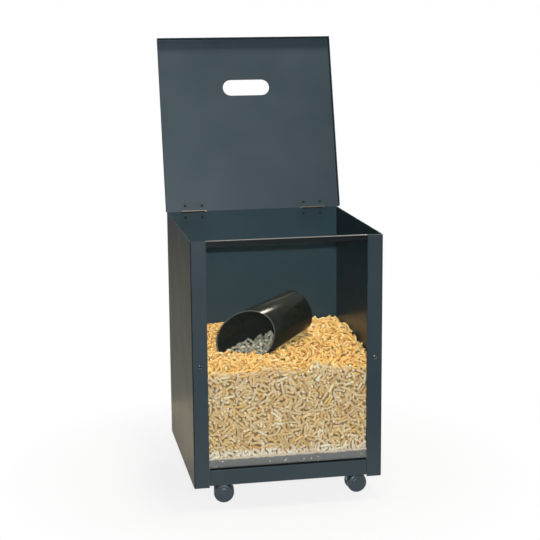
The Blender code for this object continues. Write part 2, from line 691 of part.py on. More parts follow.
def top_sticks():
    """Sticks along the slope of the heap, clear of the walls and of the scoop."""
    middle, axis, _ = scoop_axes()
    flat_axis, sticks = axis.xy.normalized(), []
    low = (-HEAP_HALF + STICK_REACH, HEAP_FRONT + STICK_REACH)
    for start, end in stick_runs(low, (HEAP_HALF - STICK_REACH, HEAP_BACK - STICK_REACH)):
        offset = (start + end) / 2 - middle.xy
        along = offset.dot(flat_axis)
        inside = min(max(along, -SCOOP_MOUTH_RADIUS), SCOOP_LENGTH)
        if (offset - flat_axis * inside).length < SCOOP_MOUTH_RADIUS + STICK_REACH:
            continue
        ends = [(p.x, p.y, BASE_Z + heap_height(p.x, p.y) + STICK_RISE) for p in (start, end)]
        sticks.append(stick(*ends))
    return sticks


def pane_sticks():
    """Sticks that lie flat against the window, between the pan's front wall and the fill line."""
    y = PANE_BACK + GAP + STICK_RADIUS
    low = (-POST_INNER + STICK_REACH, PAN_UNDER + PAN_HEIGHT + STICK_REACH)
    high = (POST_INNER - STICK_REACH, BASE_Z + FILL_FRONT - STICK_REACH)
    return [stick((start.x, y, start.y), (end.x, y, end.y)) for start, end in stick_runs(low, high)]


def scoop_axes():
    """The scoop's middle on its mouth, its axis towards the closed end and the mouth's outward normal."""
    middle = Vector((SCOOP_X, SCOOP_FROM_FRONT, BASE_Z + FILL_FRONT + SCOOP_ABOVE_FILL))
    flat = math.cos(SCOOP_TILT)
    axis = Vector((flat * math.cos(SCOOP_AZIMUTH), flat * math.sin(SCOOP_AZIMUTH), math.sin(SCOOP_TILT)))
    flat = math.cos(MOUTH_TILT)
    mouth = Vector((flat * math.cos(MOUTH_AZIMUTH), flat * math.sin(MOUTH_AZIMUTH), math.sin(MOUTH_TILT)))
    return middle, axis, mouth


def scoop_radius(along):
    return SCOOP_MOUTH_RADIUS + (SCOOP_END_RADIUS - SCOOP_MOUTH_RADIUS) * along / SCOOP_LENGTH


def scoop_path():
    """The space that the scoop sweeps when it is lifted, with a small clearance all round."""
    middle, axis, mouth = scoop_axes()
    place = pointing(axis, middle)
    shape = bmesh.new()
    for i in range(SCOOP_SIDES):
        a = 2 * math.pi * i / SCOOP_SIDES
        ray = place.to_3x3() @ Vector((math.cos(a), math.sin(a), 0))
        slope = (SCOOP_END_RADIUS - SCOOP_MOUTH_RADIUS) / SCOOP_LENGTH
        lip = -SCOOP_MOUTH_RADIUS * ray.dot(mouth) / (axis.dot(mouth) + slope * ray.dot(mouth))
        for along, sign in ((lip, -1), (SCOOP_LENGTH, 1)):
            spot = middle + axis * (along + sign * GAP) + ray * (scoop_radius(along) + GAP)
            shape.verts.new(spot)
            shape.verts.new(spot + Vector((0, 0, SCOOP_LENGTH)))
    bmesh.ops.convex_hull(shape, input=shape.verts)
    return shape


def pellet_scoop(frame):
    """The cup: turned with its closed end rounded, then cut off slantwise at the mouth."""
    middle, axis, mouth = scoop_axes()
    start = -2 * SCOOP_MOUTH_RADIUS
    end, turn = SCOOP_LENGTH, SCOOP_END_ROUND
    outer = [(scoop_radius(start), start)]
    corner = arc((SCOOP_END_RADIUS - turn, end - turn), turn, 0, 90, BEND_STEPS)
    inside = end - SCOOP_WALL
    inner = [(0, inside), (scoop_radius(end) - 2 * SCOOP_WALL, inside)]
    inner += [(scoop_radius(along) - SCOOP_WALL, along) for along in (inside - turn, start)]
    profile = inner + outer + corner + [(0, end)]
    lift = joint_empty("scoop_lift", middle, parent=frame)
    shape = turned(profile, SCOOP_SIDES, pointing(axis, (0, 0, 0)))
    scoop = piece("pellet_scoop", shape, SCOOP_BLACK, lift)
    size = 4 * SCOOP_MOUTH_RADIUS
    cutter = box((-size, -size, 0), (size, size, 2 * size))
    bmesh.ops.transform(cutter, matrix=pointing(mouth, (0, 0, 0)), verts=cutter.verts)
    shape_with(scoop, "scoop_mouth", cutter)


def main():
    clear_scene()
    frame = joint_empty("bin_frame", (0.0, FRONT_Y, 0.0))
    for side, sign in SIDES.items():
        side_panel(side, sign, frame)
    back_panel(frame)
    floor_pan(frame)
    front_rail(frame)
    window(frame)
    pin_frame = joint_empty("lid_pin", (0.0, PIN_Y, PIN_Z), parent=frame)
    lid_frame = joint_empty("lid_hinge", (0.0, PIN_Y, PIN_Z), (-LID_OPEN, 0.0, 0.0), frame)
    lid_panel(lid_frame)
    for side, sign in SIDES.items():
        hinge(side, sign, pin_frame, lid_frame)
    for corner in CASTER_PLACES:
        caster(corner, frame)
    pellet_heap(frame)
    pellet_scoop(frame)
    bpy.context.view_layer.update()


main()
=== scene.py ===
# %% [markdown]
# # A pellet bin, dressed for its picture
# The bin is a box of folded sheet steel on casters, with a window in front and a lid that stands open.
# Its solids are loaded at their real size and place, and stay where they are. This lesson gives each of
# them its surface, and remakes what a plain solid can't show: the wheels, the scoop and the loose pellets.

# %% Load the solids
import json
import math

import bmesh
import bpy
import numpy as np
from mathutils import Matrix, Vector
from mathutils.bvhtree import BVHTree

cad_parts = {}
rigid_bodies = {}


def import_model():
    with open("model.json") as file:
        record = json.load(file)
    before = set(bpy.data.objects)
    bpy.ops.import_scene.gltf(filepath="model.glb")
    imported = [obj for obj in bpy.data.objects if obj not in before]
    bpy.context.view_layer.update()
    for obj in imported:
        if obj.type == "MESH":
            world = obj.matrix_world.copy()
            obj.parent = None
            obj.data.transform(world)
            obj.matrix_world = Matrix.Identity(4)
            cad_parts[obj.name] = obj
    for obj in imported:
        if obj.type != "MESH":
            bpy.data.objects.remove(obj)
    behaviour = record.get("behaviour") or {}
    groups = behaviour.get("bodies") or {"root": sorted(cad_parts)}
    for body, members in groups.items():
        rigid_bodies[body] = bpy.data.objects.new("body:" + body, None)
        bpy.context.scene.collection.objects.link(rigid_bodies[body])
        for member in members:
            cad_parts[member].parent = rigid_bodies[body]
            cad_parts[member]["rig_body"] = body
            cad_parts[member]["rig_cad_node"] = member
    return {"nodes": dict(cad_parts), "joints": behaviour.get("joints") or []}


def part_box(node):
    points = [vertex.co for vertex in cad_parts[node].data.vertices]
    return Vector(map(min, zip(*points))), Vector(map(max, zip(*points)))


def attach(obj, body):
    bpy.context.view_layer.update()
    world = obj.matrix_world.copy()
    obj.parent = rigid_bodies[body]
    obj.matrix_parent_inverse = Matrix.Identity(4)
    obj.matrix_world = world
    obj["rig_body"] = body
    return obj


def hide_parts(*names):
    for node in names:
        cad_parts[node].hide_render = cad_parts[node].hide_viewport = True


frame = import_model()
nodes = frame["nodes"]
joints = {joint["name"]: joint for joint in frame["joints"]}
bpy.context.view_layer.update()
print("solids:", len(nodes), "joints:", len(joints))

# %% [markdown]
# ## Camera
# The picture was taken from the left, a little above the lid's middle, with a long lens. The place and the
# lens were worked out from the box's corners, so the camera is turned in three plain steps: round to the
# right, down towards the box, and a hair of roll.

# %% Place the camera
PICTURE_SIDE = 540
FOCAL_PIXELS = 1336.3
SENSOR_MM = 36.0
EYE = (-0.5084, -2.7218, 0.9792)
TURN_RIGHT, TILT_DOWN, ROLL = (math.radians(angle) for angle in (10.79, 11.165, 0.451))

bpy.ops.object.select_all(action="DESELECT")
bpy.ops.object.camera_add()
camera = bpy.context.object
camera.name = "picture_camera"
camera.data.sensor_width = SENSOR_MM
camera.data.lens = FOCAL_PIXELS * SENSOR_MM / PICTURE_SIDE
camera.matrix_world = (
    Matrix.Translation(EYE)
    @ Matrix.Rotation(-TURN_RIGHT, 4, "Z")
    @ Matrix.Rotation(math.radians(90) - TILT_DOWN, 4, "X")
    @ Matrix.Rotation(-ROLL, 4, "Z")
)
bpy.context.scene.camera = camera
bpy.context.scene.view_settings.view_transform = "Standard"
print("lens:", round(camera.data.lens, 1), "mm")

# %% [markdown]
# ## Helpers for finishes
# Every finish starts as a Principled shader and gets its life from noise: a slow noise that shifts the
# colour, one that makes the gloss uneven, and a fine one that dents the surface. All of them read Object
# coordinates, so the grain has its real size in metres on every piece. The helpers hand on pairs of a node
# and the name of one of its outputs, so that one call can stand inside another.

# %% Write the node helpers
EVEN = (1.0, 1.0, 1.0)


def shader_of(material):
    return material.node_tree.nodes["Principled BSDF"]


def new_finish(name, color, roughness, metallic=0.0, specular=0.5):
    material = bpy.data.materials.new(name)
    material.use_nodes = True
    inputs = shader_of(material).inputs
    inputs["Base Color"].default_value = (*color, 1.0)
    inputs["Roughness"].default_value = roughness
    inputs["Metallic"].default_value = metallic
    inputs["Specular IOR Level"].default_value = specular
    return material


def add_node(material, kind, **values):
    node = material.node_tree.nodes.new("ShaderNode" + kind)
    for socket, value in values.items():
        node.inputs[socket.replace("_", " ")].default_value = value
    return node


def feed(material, source, node, socket):
    """Wires a (node, output) pair to a socket, or sets the socket to a number, vector or colour."""
    if isinstance(source, tuple) and isinstance(source[0], bpy.types.Node):
        start, out = source
        material.node_tree.links.new(start.outputs[out], node.inputs[socket])
    else:
        node.inputs[socket].default_value = source


def reckon(material, operation, *sources, kind="Math", out="Value"):
    """A Math node, or another kind of one, on sources that are pairs or plain values."""
    node = add_node(material, kind)
    node.operation = operation
    for socket, source in enumerate(sources):
        feed(material, source, node, socket)
    return node, out


def place_on(material):
    """A point's place on the piece, in metres."""
    return add_node(material, "TexCoord"), "Object"


def axes_of(material):
    """A node whose outputs X, Y and Z are a point's place on the piece."""
    axes = add_node(material, "SeparateXYZ")
    feed(material, place_on(material), axes, 0)
    return axes


# %% Write the pattern helpers
def noise(material, scale, detail=2.0, stretch=EVEN):
    """A noise on Object coordinates; scale is in spots per metre, stretch scales each axis."""
    mapping = add_node(material, "Mapping", Scale=stretch)
    texture = add_node(material, "TexNoise", Scale=scale, Detail=detail)
    feed(material, place_on(material), mapping, "Vector")
    feed(material, (mapping, "Vector"), texture, "Vector")
    return texture, "Fac"


def ramp(material, source, stops):
    """Turns a number into a colour by (place, colour) stops."""
    node = add_node(material, "ValToRGB")
    feed(material, source, node, "Fac")
    while len(node.color_ramp.elements) < len(stops):
        node.color_ramp.elements.new(0.5)
    for element, (place, color) in zip(node.color_ramp.elements, stops):
        element.position = place
        element.color = (*color, 1.0)
    return node, "Color"


def span(material, source, low, high, to_low=0.0, to_high=1.0):
    """Stretches one range of numbers onto another."""
    node = add_node(material, "MapRange", From_Min=low, From_Max=high, To_Min=to_low, To_Max=to_high)
    feed(material, source, node, "Value")
    return node, "Result"


def mix(material, share, first, second):
    """A colour between two: the first where share is nought, the second where it is one."""
    node = add_node(material, "MixRGB")
    for socket, source in (("Fac", share), ("Color1", first), ("Color2", second)):
        feed(material, source, node, socket)
    return node, "Color"


def show_mix(material, share, first, second, output="Material Output"):
    """Puts a mix of two shaders on the surface."""
    node = add_node(material, "MixShader")
    for socket, source in enumerate((share, first, second)):
        feed(material, source, node, socket)
    feed(material, (node, "Shader"), material.node_tree.nodes[output], "Surface")


# %% Write the finish helpers
NOISE_LOW, NOISE_HIGH = 0.3, 0.7


def set_color(material, source):
    feed(material, source, shader_of(material), "Base Color")


def cloudy(material, scale, dark, light, stretch=EVEN):
    """A colour that drifts between two."""
    return ramp(material, noise(material, scale, 3.0, stretch), ((NOISE_LOW, dark), (NOISE_HIGH, light)))


def mottle(material, scale, dark, light):
    set_color(material, cloudy(material, scale, dark, light))


def uneven_gloss(material, scale, low, high, stretch=EVEN):
    gloss = span(material, noise(material, scale, 3.0, stretch), NOISE_LOW, NOISE_HIGH, low, high)
    feed(material, gloss, shader_of(material), "Roughness")


def fine_dents(material, scale, strength, depth, stretch=EVEN):
    bump = add_node(material, "Bump", Strength=strength, Distance=depth)
    feed(material, noise(material, scale, 2.0, stretch), bump, "Height")
    feed(material, (bump, "Normal"), shader_of(material), "Normal")


def coat(material, *names):
    """Gives a finish to solids that keep their shape."""
    for name in names:
        nodes[name].data.materials.clear()
        nodes[name].data.materials.append(material)
    print(material.name, "on", len(names), "solids")


# %% [markdown]
# ## Floor, background and light
# The bin stands on a plain pale floor in front of white. A warm lamp hangs almost straight above it, and a
# cool one stands near the camera: the first makes the heap golden and throws the shadow of the lid's upper
# fold, the second throws the short shadow of the window's trim on the back panel. A broad one behind on the
# right keeps the outside of the back and of the right wall from going black. Close to the bin the
# floor is matt, so it keeps a soft shadow; further out it turns into plain white, as a swept paper backdrop
# does. Camera, mirror and glass rays all see that same white. Rays that carry light between matt surfaces
# don't: for them the floor is a plain grey, or it would light up the inside through the window.

# %% Build the floor and the background
FLOOR_SIDE = 14.0
FLOOR_DROP = -0.0004
SHADOW_REACH, WHITE_REACH = 0.22, 0.60
PAPER_GLOW = 0.84
SKY_LIGHT = 0.06
WHITE = (1.0, 1.0, 1.0, 1.0)


def picture_rays(owner):
    """One where a ray comes straight from the camera, off a glossy surface or through glass."""
    path = add_node(owner, "LightPath")
    seen = (path, "Is Camera Ray")
    for kind in ("Is Glossy Ray", "Is Transmission Ray"):
        seen = reckon(owner, "MAXIMUM", seen, (path, kind))
    straight = reckon(owner, "LESS_THAN", (path, "Diffuse Depth"), 0.5)
    return reckon(owner, "MULTIPLY", seen, straight)


bpy.ops.object.select_all(action="DESELECT")
bpy.ops.mesh.primitive_plane_add(size=FLOOR_SIDE, location=(0, 0, FLOOR_DROP))
floor = bpy.context.object
floor.name = "floor"
floor_paper = new_finish("floor_paper", (0.5, 0.5, 0.5), 0.9, specular=0.0)
away = reckon(floor_paper, "LENGTH", place_on(floor_paper), kind="VectorMath")
fade = span(floor_paper, away, SHADOW_REACH, WHITE_REACH, PAPER_GLOW, 1.0)
share = reckon(floor_paper, "MULTIPLY", fade, picture_rays(floor_paper))
white = add_node(floor_paper, "Emission", Color=WHITE, Strength=1.0)
show_mix(floor_paper, share, (shader_of(floor_paper), "BSDF"), (white, "Emission"))
floor.data.materials.append(floor_paper)

world = bpy.data.worlds.new("white_room")
bpy.context.scene.world = world
world.use_nodes = True
room = world.node_tree.nodes["Background"]
room.inputs["Color"].default_value = WHITE
room.inputs["Strength"].default_value = SKY_LIGHT
seen = add_node(world, "Background", Color=WHITE, Strength=1.0)
show_mix(world, picture_rays(world), (room, "Background"), (seen, "Background"), "World Output")
print("floor and world ready")

# %% Hang the lamps
WARM, COOL, PLAIN = (1.0, 0.90, 0.78), (0.92, 0.98, 1.0), (1.0, 0.97, 0.93)


def lamp(name, place, target, size, watts, color):
    bpy.ops.object.select_all(action="DESELECT")
    bpy.ops.object.light_add(type="AREA", location=place)
    item = bpy.context.object
    item.name = name
    item.data.size = size
    item.data.energy = watts
    item.data.color = color
    item.rotation_euler = (Vector(target) - Vector(place)).to_track_quat("-Z", "Y").to_euler()
    return item


lamp("ceiling_lamp", (0.18, -0.22, 2.9), target=(0, 0.1, 0.6), size=0.5, watts=66, color=WARM)
lamp("front_lamp", (-0.40, -2.75, 1.075), target=(0, 0, 0.45), size=0.025, watts=56, color=COOL)
lamp("back_lamp", (1.5, 2.4, 1.5), target=(0, 0.1, 0.45), size=0.9, watts=55, color=PLAIN)

# %% [markdown]
# A pane of glass shows the white floor in front of it as a haze. Photographers lay a black cloth there and
# hang it behind the camera. A tan mat beside the bin and a board behind it do the opposite: they give the
# left wall, which is seen almost edge on, a warm tone that fades upwards. A pale blue panel, like a high
# window behind the camera, lifts the lid's lower left. Each is a plane with its far edge pulled up. Only
# reflections see them: the finish is clear until a ray has come off a glossy surface, also when it then
# passes the pane.

# %% Lay the cloth, the board and the panel
ON_EDGE = 0.01


def pick_edges(item, wanted, lengthwise=False):
    """Selects, in edit mode, the edges of which both ends pass a test; lengthwise, only those along X."""
    bpy.ops.mesh.select_mode(type="EDGE")
    bpy.ops.mesh.select_all(action="DESELECT")
    shape = bmesh.from_edit_mesh(item.data)
    for edge in shape.edges:
        start, end = (vert.co for vert in edge.verts)
        along = not lengthwise or abs(start.x - end.x) > ON_EDGE
        edge.select_set(along and wanted(start) and wanted(end))
    bmesh.update_edit_mesh(item.data)


def reflected_card(name, low, high, height, color, glow=0.0, lift=0.002):
    """A sheet between two corners, lifted off the floor; its edge away from the bin is pulled up."""
    bpy.ops.object.select_all(action="DESELECT")
    bpy.ops.mesh.primitive_plane_add(size=1.0)
    card = bpy.context.object
    card.name = name
    card.scale = (high[0] - low[0], high[1] - low[1], 1.0)
    card.location = ((low[0] + high[0]) / 2, (low[1] + high[1]) / 2, lift)
    bpy.ops.object.transform_apply(location=True, rotation=True, scale=True)
    far = max(low[1], high[1], key=abs)
    bpy.ops.object.mode_set(mode="EDIT")
    pick_edges(card, lambda point: abs(point.y - far) < ON_EDGE)
    bpy.ops.mesh.extrude_region_move(TRANSFORM_OT_translate={"value": (0, 0, height)})
    bpy.ops.object.mode_set(mode="OBJECT")
    finish = new_finish(name, color, 0.95)
    shader = shader_of(finish)
    shader.inputs["Emission Color"].default_value = (*color, 1.0)
    shader.inputs["Emission Strength"].default_value = glow
    mirrored = (add_node(finish, "LightPath"), "Glossy Depth")
    unseen = (add_node(finish, "BsdfTransparent"), "BSDF")
    show_mix(finish, mirrored, unseen, (shader, "BSDF"))
    card.data.materials.append(finish)
    for sense in ("camera", "diffuse", "shadow"):
        setattr(card, "visible_" + sense, False)
    print(name, "has", len(card.data.polygons), "faces")


reflected_card("black_cloth", (-3.5, -4.2), (3.5, -0.55), 4.5, (0.02, 0.02, 0.02))
reflected_card("blue_panel", (-2.4, -4.0), (0.55, -3.9), 1.3, (0.45, 0.62, 0.90), glow=3.4, lift=1.7)
reflected_card("tan_mat", (-3.0, -0.1), (0.5, 0.50), 0.002, (0.74, 0.63, 0.48), glow=0.3)
reflected_card("tan_board", (-3.0, 0.501), (0.5, 5.0), 2.0, (0.34, 0.32, 0.26))

# %% [markdown]
# ## Powder coat
# The sheet steel is powder coated in anthracite: dark blue grey, satin, with a fine orange peel that shows
# only in the highlights. One finish covers all the folded sheets, since they were coated together. Inside
# the bin the coat is painted darker, and darkest on the side walls: that is painted shade. The finish finds
# those faces by their place, half a sheet in from the outer faces. The upright folds beside the posts are
# painted as dark lines: that is painted shade too.

# %% Coat the sheet steel
PAINT_DARK, PAINT_LIGHT = (0.0270, 0.0430, 0.0525), (0.0325, 0.0500, 0.0600)
# painted shade: the coat inside the bin, and darker still on the side walls
INSIDE_PAINTED_SHADE, SIDE_WALL_PAINTED_SHADE = (0.0170, 0.0400, 0.0520), (0.003, 0.009, 0.011)
HALF_SHEET = 0.00075
# painted shade: dark lines along the upright folds beside the posts
FOLD_PAINTED_SHADE = (0.004, 0.007, 0.008)
FOLD_WIDE, FOLD_DEEP = 0.0020, 0.0030
wall_low, wall_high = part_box("right_side_panel")
back_low, back_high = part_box("back_panel")

anthracite = new_finish("anthracite_powder_coat", PAINT_LIGHT, 0.42, specular=0.28)
spot = axes_of(anthracite)
across = reckon(anthracite, "ABSOLUTE", (spot, "X"))
beside = reckon(anthracite, "GREATER_THAN", across, wall_high.x - 3 * HALF_SHEET)
within = reckon(anthracite, "LESS_THAN", across, wall_high.x - HALF_SHEET)
for test, axis, limit in (
    ("GREATER_THAN", "Y", wall_low.y + HALF_SHEET),
    ("LESS_THAN", "Y", back_low.y + HALF_SHEET),
    ("LESS_THAN", "Z", wall_high.z),
):
    within = reckon(anthracite, "MULTIPLY", within, reckon(anthracite, test, (spot, axis), limit))
at_side = reckon(anthracite, "GREATER_THAN", across, wall_high.x - FOLD_WIDE)
at_front = reckon(anthracite, "LESS_THAN", (spot, "Y"), wall_low.y + FOLD_DEEP)
at_fold = reckon(anthracite, "MULTIPLY", at_side, at_front)
outside = cloudy(anthracite, 7.0, PAINT_DARK, PAINT_LIGHT)
# the inside gets painted shade, darkest beside the side walls
inside = ramp(anthracite, beside, ((0.0, INSIDE_PAINTED_SHADE), (1.0, SIDE_WALL_PAINTED_SHADE)))
in_or_out = mix(anthracite, within, outside, inside)
set_color(anthracite, mix(anthracite, at_fold, in_or_out, (*FOLD_PAINTED_SHADE, 1.0)))
uneven_gloss(anthracite, 14.0, 0.34, 0.39)
fine_dents(anthracite, 1100.0, 0.08, 0.0004)
coat(
    anthracite, "left_side_panel", "right_side_panel", "back_panel", "front_rail",
    "window_clip_left", "window_clip_right", "lid_panel",
)

# %% [markdown]
# The pan under the pellets has the same coat, but its front wall shows through the window with pale dust
# and crumbs on it. A Voronoi texture scatters the crumbs: only the spots close to a cell's centre are
# turned pale, and a noise keeps them out of most cells. Sawdust lies thick along the wall's upper edge: it
# is found by height, and another noise makes its lower border ragged.

# %% Dust the pan
CRUMB_SCALE = 130.0
DUST, CRUMB = (0.078, 0.079, 0.073), (0.55, 0.53, 0.48)
SAWDUST = (0.66, 0.50, 0.37)
SAWDUST_DEPTH, SAWDUST_FADE, SAWDUST_RAGGED = 0.0034, 0.0016, 0.0060
YES, NO = (1, 1, 1), (0, 0, 0)
pan_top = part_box("floor_pan")[1].z

dusty_coat = new_finish("dusty_powder_coat", PAINT_LIGHT, 0.55)
cells = add_node(dusty_coat, "TexVoronoi", Scale=CRUMB_SCALE)
feed(dusty_coat, place_on(dusty_coat), cells, "Vector")
near = ramp(dusty_coat, (cells, "Distance"), ((0.14, YES), (0.26, NO)))
here = ramp(dusty_coat, noise(dusty_coat, 55.0), ((0.50, NO), (0.56, YES)))
dust = ramp(dusty_coat, reckon(dusty_coat, "MULTIPLY", near, here), ((0.0, DUST), (1.0, CRUMB)))
ragged = reckon(dusty_coat, "MULTIPLY", noise(dusty_coat, 160.0), SAWDUST_RAGGED)
height = reckon(dusty_coat, "ADD", (axes_of(dusty_coat), "Z"), ragged)
border = pan_top - SAWDUST_DEPTH + SAWDUST_RAGGED / 2
thick = span(dusty_coat, height, border - SAWDUST_FADE, border + SAWDUST_FADE)
set_color(dusty_coat, mix(dusty_coat, thick, dust, (*SAWDUST, 1.0)))
fine_dents(dusty_coat, 500.0, 0.15, 0.0004)
coat(dusty_coat, "floor_pan")

# %% [markdown]
# ## Hinges
# The leaves and rivets were painted with the box, but the knuckles turn on their pin, so they are worn
# down to bare steel. The leaf is one solid. Its finish therefore measures how far each point is from the
# pin's line, and changes from paint to steel where the sheet is rolled.

# %% Wear the knuckles bare
KNUCKLE_REACH = 0.0029
BARE_STEEL = (0.047, 0.046, 0.042)
hinge_line = Vector(joints["lid_hinge"]["pos_m"])


def worn_leaf(half, paint):
    """Leaf finish: paint that gives way to bare steel near the pin's line."""
    finish = new_finish(f"worn_{half}_leaf", paint, 0.40, specular=0.28)
    spot = axes_of(finish)
    across = reckon(finish, "SUBTRACT", (spot, "Y"), hinge_line.y)
    upward = reckon(finish, "SUBTRACT", (spot, "Z"), hinge_line.z)
    squares = [reckon(finish, "MULTIPLY", length, length) for length in (across, upward)]
    bare = reckon(finish, "LESS_THAN", reckon(finish, "ADD", *squares), KNUCKLE_REACH ** 2)
    set_color(finish, ramp(finish, bare, ((0.0, paint), (1.0, BARE_STEEL))))
    feed(finish, bare, shader_of(finish), "Metallic")
    fine_dents(finish, 900.0, 0.06, 0.0003)
    coat(finish, f"hinge_left_{half}_leaf", f"hinge_right_{half}_leaf")


worn_leaf("lid", PAINT_DARK)
# the leaves on the body take the inside's painted shade
worn_leaf("body", INSIDE_PAINTED_SHADE)

rivet_paint = new_finish("rivet_paint", (0.006, 0.008, 0.010), 0.5, specular=0.2)
mottle(rivet_paint, 300.0, (0.004, 0.005, 0.006), (0.009, 0.012, 0.015))
fine_dents(rivet_paint, 900.0, 0.08, 0.0003)
coat(rivet_paint, *[name for name in nodes if "_rivet_" in name])

# %% [markdown]
# ## Bright steel, dark screws and the trim
# Pins, stems, nuts and axles are zinc plated: metal with a cloudy gloss. The two screws on the posts are
# blackened and polished, so they stay dark but catch the lamps. The strip over the window's upper edge is
# brushed along its length, so its noise is stretched until the spots become lines; a pale grey band along
# its top is a painted highlight.

# %% Finish the small metal
zinc = new_finish("zinc_plate", (0.60, 0.58, 0.53), 0.34, 1.0)
mottle(zinc, 260.0, (0.50, 0.49, 0.46), (0.66, 0.63, 0.58))
uneven_gloss(zinc, 400.0, 0.26, 0.42)
coat(zinc, *[name for name in nodes if name.endswith(("_pin", "_stem", "_nut", "_axle"))])

black_oxide = new_finish("black_oxide", (0.15, 0.16, 0.17), 0.2, 1.0)
mottle(black_oxide, 500.0, (0.12, 0.13, 0.14), (0.19, 0.20, 0.21))
uneven_gloss(black_oxide, 700.0, 0.14, 0.20)
coat(black_oxide, "window_screw_left", "window_screw_right")

BRUSHED_ALONG = (1.0, 60.0, 60.0)
# painted highlight: a pale grey band along the trim's top edge
PAINTED_HIGHLIGHT_DEPTH, PAINTED_HIGHLIGHT_GREY = 0.0010, (0.13, 0.13, 0.12)
trim_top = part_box("window_top_trim")[1].z
brushed_trim = new_finish("brushed_trim", (0.007, 0.009, 0.0095), 0.36, specular=0.2)
grey = cloudy(brushed_trim, 25.0, (0.005, 0.007, 0.0075), (0.009, 0.011, 0.012), BRUSHED_ALONG)
highlit_top = reckon(brushed_trim, "GREATER_THAN", (axes_of(brushed_trim), "Z"), trim_top - PAINTED_HIGHLIGHT_DEPTH)
set_color(brushed_trim, mix(brushed_trim, highlit_top, grey, (*PAINTED_HIGHLIGHT_GREY, 1.0)))
uneven_gloss(brushed_trim, 25.0, 0.28, 0.44, BRUSHED_ALONG)
fine_dents(brushed_trim, 40.0, 0.05, 0.0002, BRUSHED_ALONG)
coat(brushed_trim, "window_top_trim")

# %% [markdown]
# ## Window
# The pane is real glass with thickness, so it bends light at its edges. Glass blocks the lamps in a render,
# which would leave the pellets in the dark. A Light Path node swaps in a Transparent shader for the rays
# that look for a lamp or come off a matt surface.

# %% Glaze the window
GLASS_PASSES = (0.955, 0.965, 0.96)

glass = new_finish("window_glass", (0.96, 0.98, 0.97), 0.02)
shader_of(glass).inputs["Transmission Weight"].default_value = 1.0
shader_of(glass).inputs["IOR"].default_value = 1.47
uneven_gloss(glass, 22.0, 0.0, 0.03)
clear = add_node(glass, "BsdfTransparent", Color=(*GLASS_PASSES, 1.0))
path = add_node(glass, "LightPath")
light_rays = reckon(glass, "MAXIMUM", (path, "Is Shadow Ray"), (path, "Is Diffuse Ray"))
show_mix(glass, light_rays, (shader_of(glass), "BSDF"), (clear, "BSDF"))
coat(glass, "window_pane")

# %% [markdown]
# ## Bead and strip
# Two thin bars sit at joints. A black bead between the pane's lower edge and the rail is painted shade: it
# stands for the dark gap there. A coated strip on the outside of the back panel covers the slit under the
# open lid's edge, which a bare box would show as a bright slit. Each is a cube stretched to its size, with
# its free edges rounded by a bevel.

# %% Model the two bars
def rounded_bar(name, low, high, rounding, wanted):
    """A bar between two corners; those of its long edges that pass a test are rounded."""
    bpy.ops.object.select_all(action="DESELECT")
    bpy.ops.mesh.primitive_cube_add(size=1.0, location=(Vector(low) + Vector(high)) / 2)
    bar = bpy.context.object
    bar.name = name
    bar.scale = Vector(high) - Vector(low)
    bpy.ops.object.transform_apply(location=True, rotation=True, scale=True)
    bpy.ops.object.mode_set(mode="EDIT")
    pick_edges(bar, wanted, lengthwise=True)
    bpy.ops.mesh.bevel(offset=rounding, segments=4, affect="EDGES")
    bpy.ops.object.mode_set(mode="OBJECT")
    bpy.ops.object.shade_smooth_by_angle(angle=math.radians(40))
    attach(bar, "bin")
    print(name, [round(1000 * length, 2) for length in bar.dimensions], "mm")
    return bar


# the bead is a black bar that stands for the shadow in the gap under the pane: painted shade
BEAD_HEIGHT, BEAD_DEPTH, BEAD_ROUND, BEAD_GAP = 0.0033, 0.0013, 0.0006, 0.0002
STRIP_THICK, STRIP_DROP, STRIP_ROUND = 0.0007, 0.0034, 0.0003
pane_low, pane_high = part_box("window_pane")
rail_low, rail_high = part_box("front_rail")

gap_shadow_bar = rounded_bar(
    "window_gap_shadow",
    (rail_low.x, pane_low.y - BEAD_DEPTH - BEAD_GAP, rail_high.z),
    (rail_high.x, pane_low.y - BEAD_GAP, rail_high.z + BEAD_HEIGHT),
    BEAD_ROUND,
    lambda point: point.y < pane_low.y - BEAD_DEPTH and point.z > rail_high.z + BEAD_HEIGHT / 2,
)
# painted shade: the bead's black
gap_shadow_black = new_finish("gap_shadow_black", (0.003, 0.003, 0.003), 0.8, specular=0.1)
mottle(gap_shadow_black, 200.0, (0.002, 0.002, 0.002), (0.005, 0.005, 0.004))
gap_shadow_bar.data.materials.append(gap_shadow_black)

strip = rounded_bar(
    "back_strip",
    (back_low.x, back_high.y, back_high.z - STRIP_DROP),
    (back_high.x, back_high.y + STRIP_THICK, hinge_line.z),
    STRIP_ROUND,
    lambda point: point.y > back_high.y + STRIP_THICK / 2,
)
strip.data.materials.append(anthracite)

# %% [markdown]
# ## Caster plastic
# Fork and wheels are moulded in a dark blue-grey plastic with a faint leathery texture.

# %% Mix the caster plastic
caster_plastic = new_finish("caster_plastic", (0.028, 0.046, 0.060), 0.36)
mottle(caster_plastic, 90.0, (0.024, 0.040, 0.053), (0.033, 0.052, 0.067))
uneven_gloss(caster_plastic, 120.0, 0.30, 0.42)
fine_dents(caster_plastic, 1500.0, 0.10, 0.0003)
coat(caster_plastic, *[name for name in nodes if name.endswith("_fork")])

# %% [markdown]
# ## Helpers for modelling
# Wheels, scoop and pellets are shaped in edit mode, as by hand. There is no mouse to pick a face, so it is
# picked by a test on its middle and normal, and an operator then acts on what is selected.

# %% Write the modelling helpers
def pick_faces(item, wanted):
    """Selects, in edit mode, the faces whose middle and normal pass a test."""
    bpy.ops.mesh.select_mode(type="FACE")
    bpy.ops.mesh.select_all(action="DESELECT")
    shape = bmesh.from_edit_mesh(item.data)
    shape.normal_update()
    for face in shape.faces:
        face.select_set(wanted(face.calc_center_median(), face.normal))
    bmesh.update_edit_mesh(item.data)


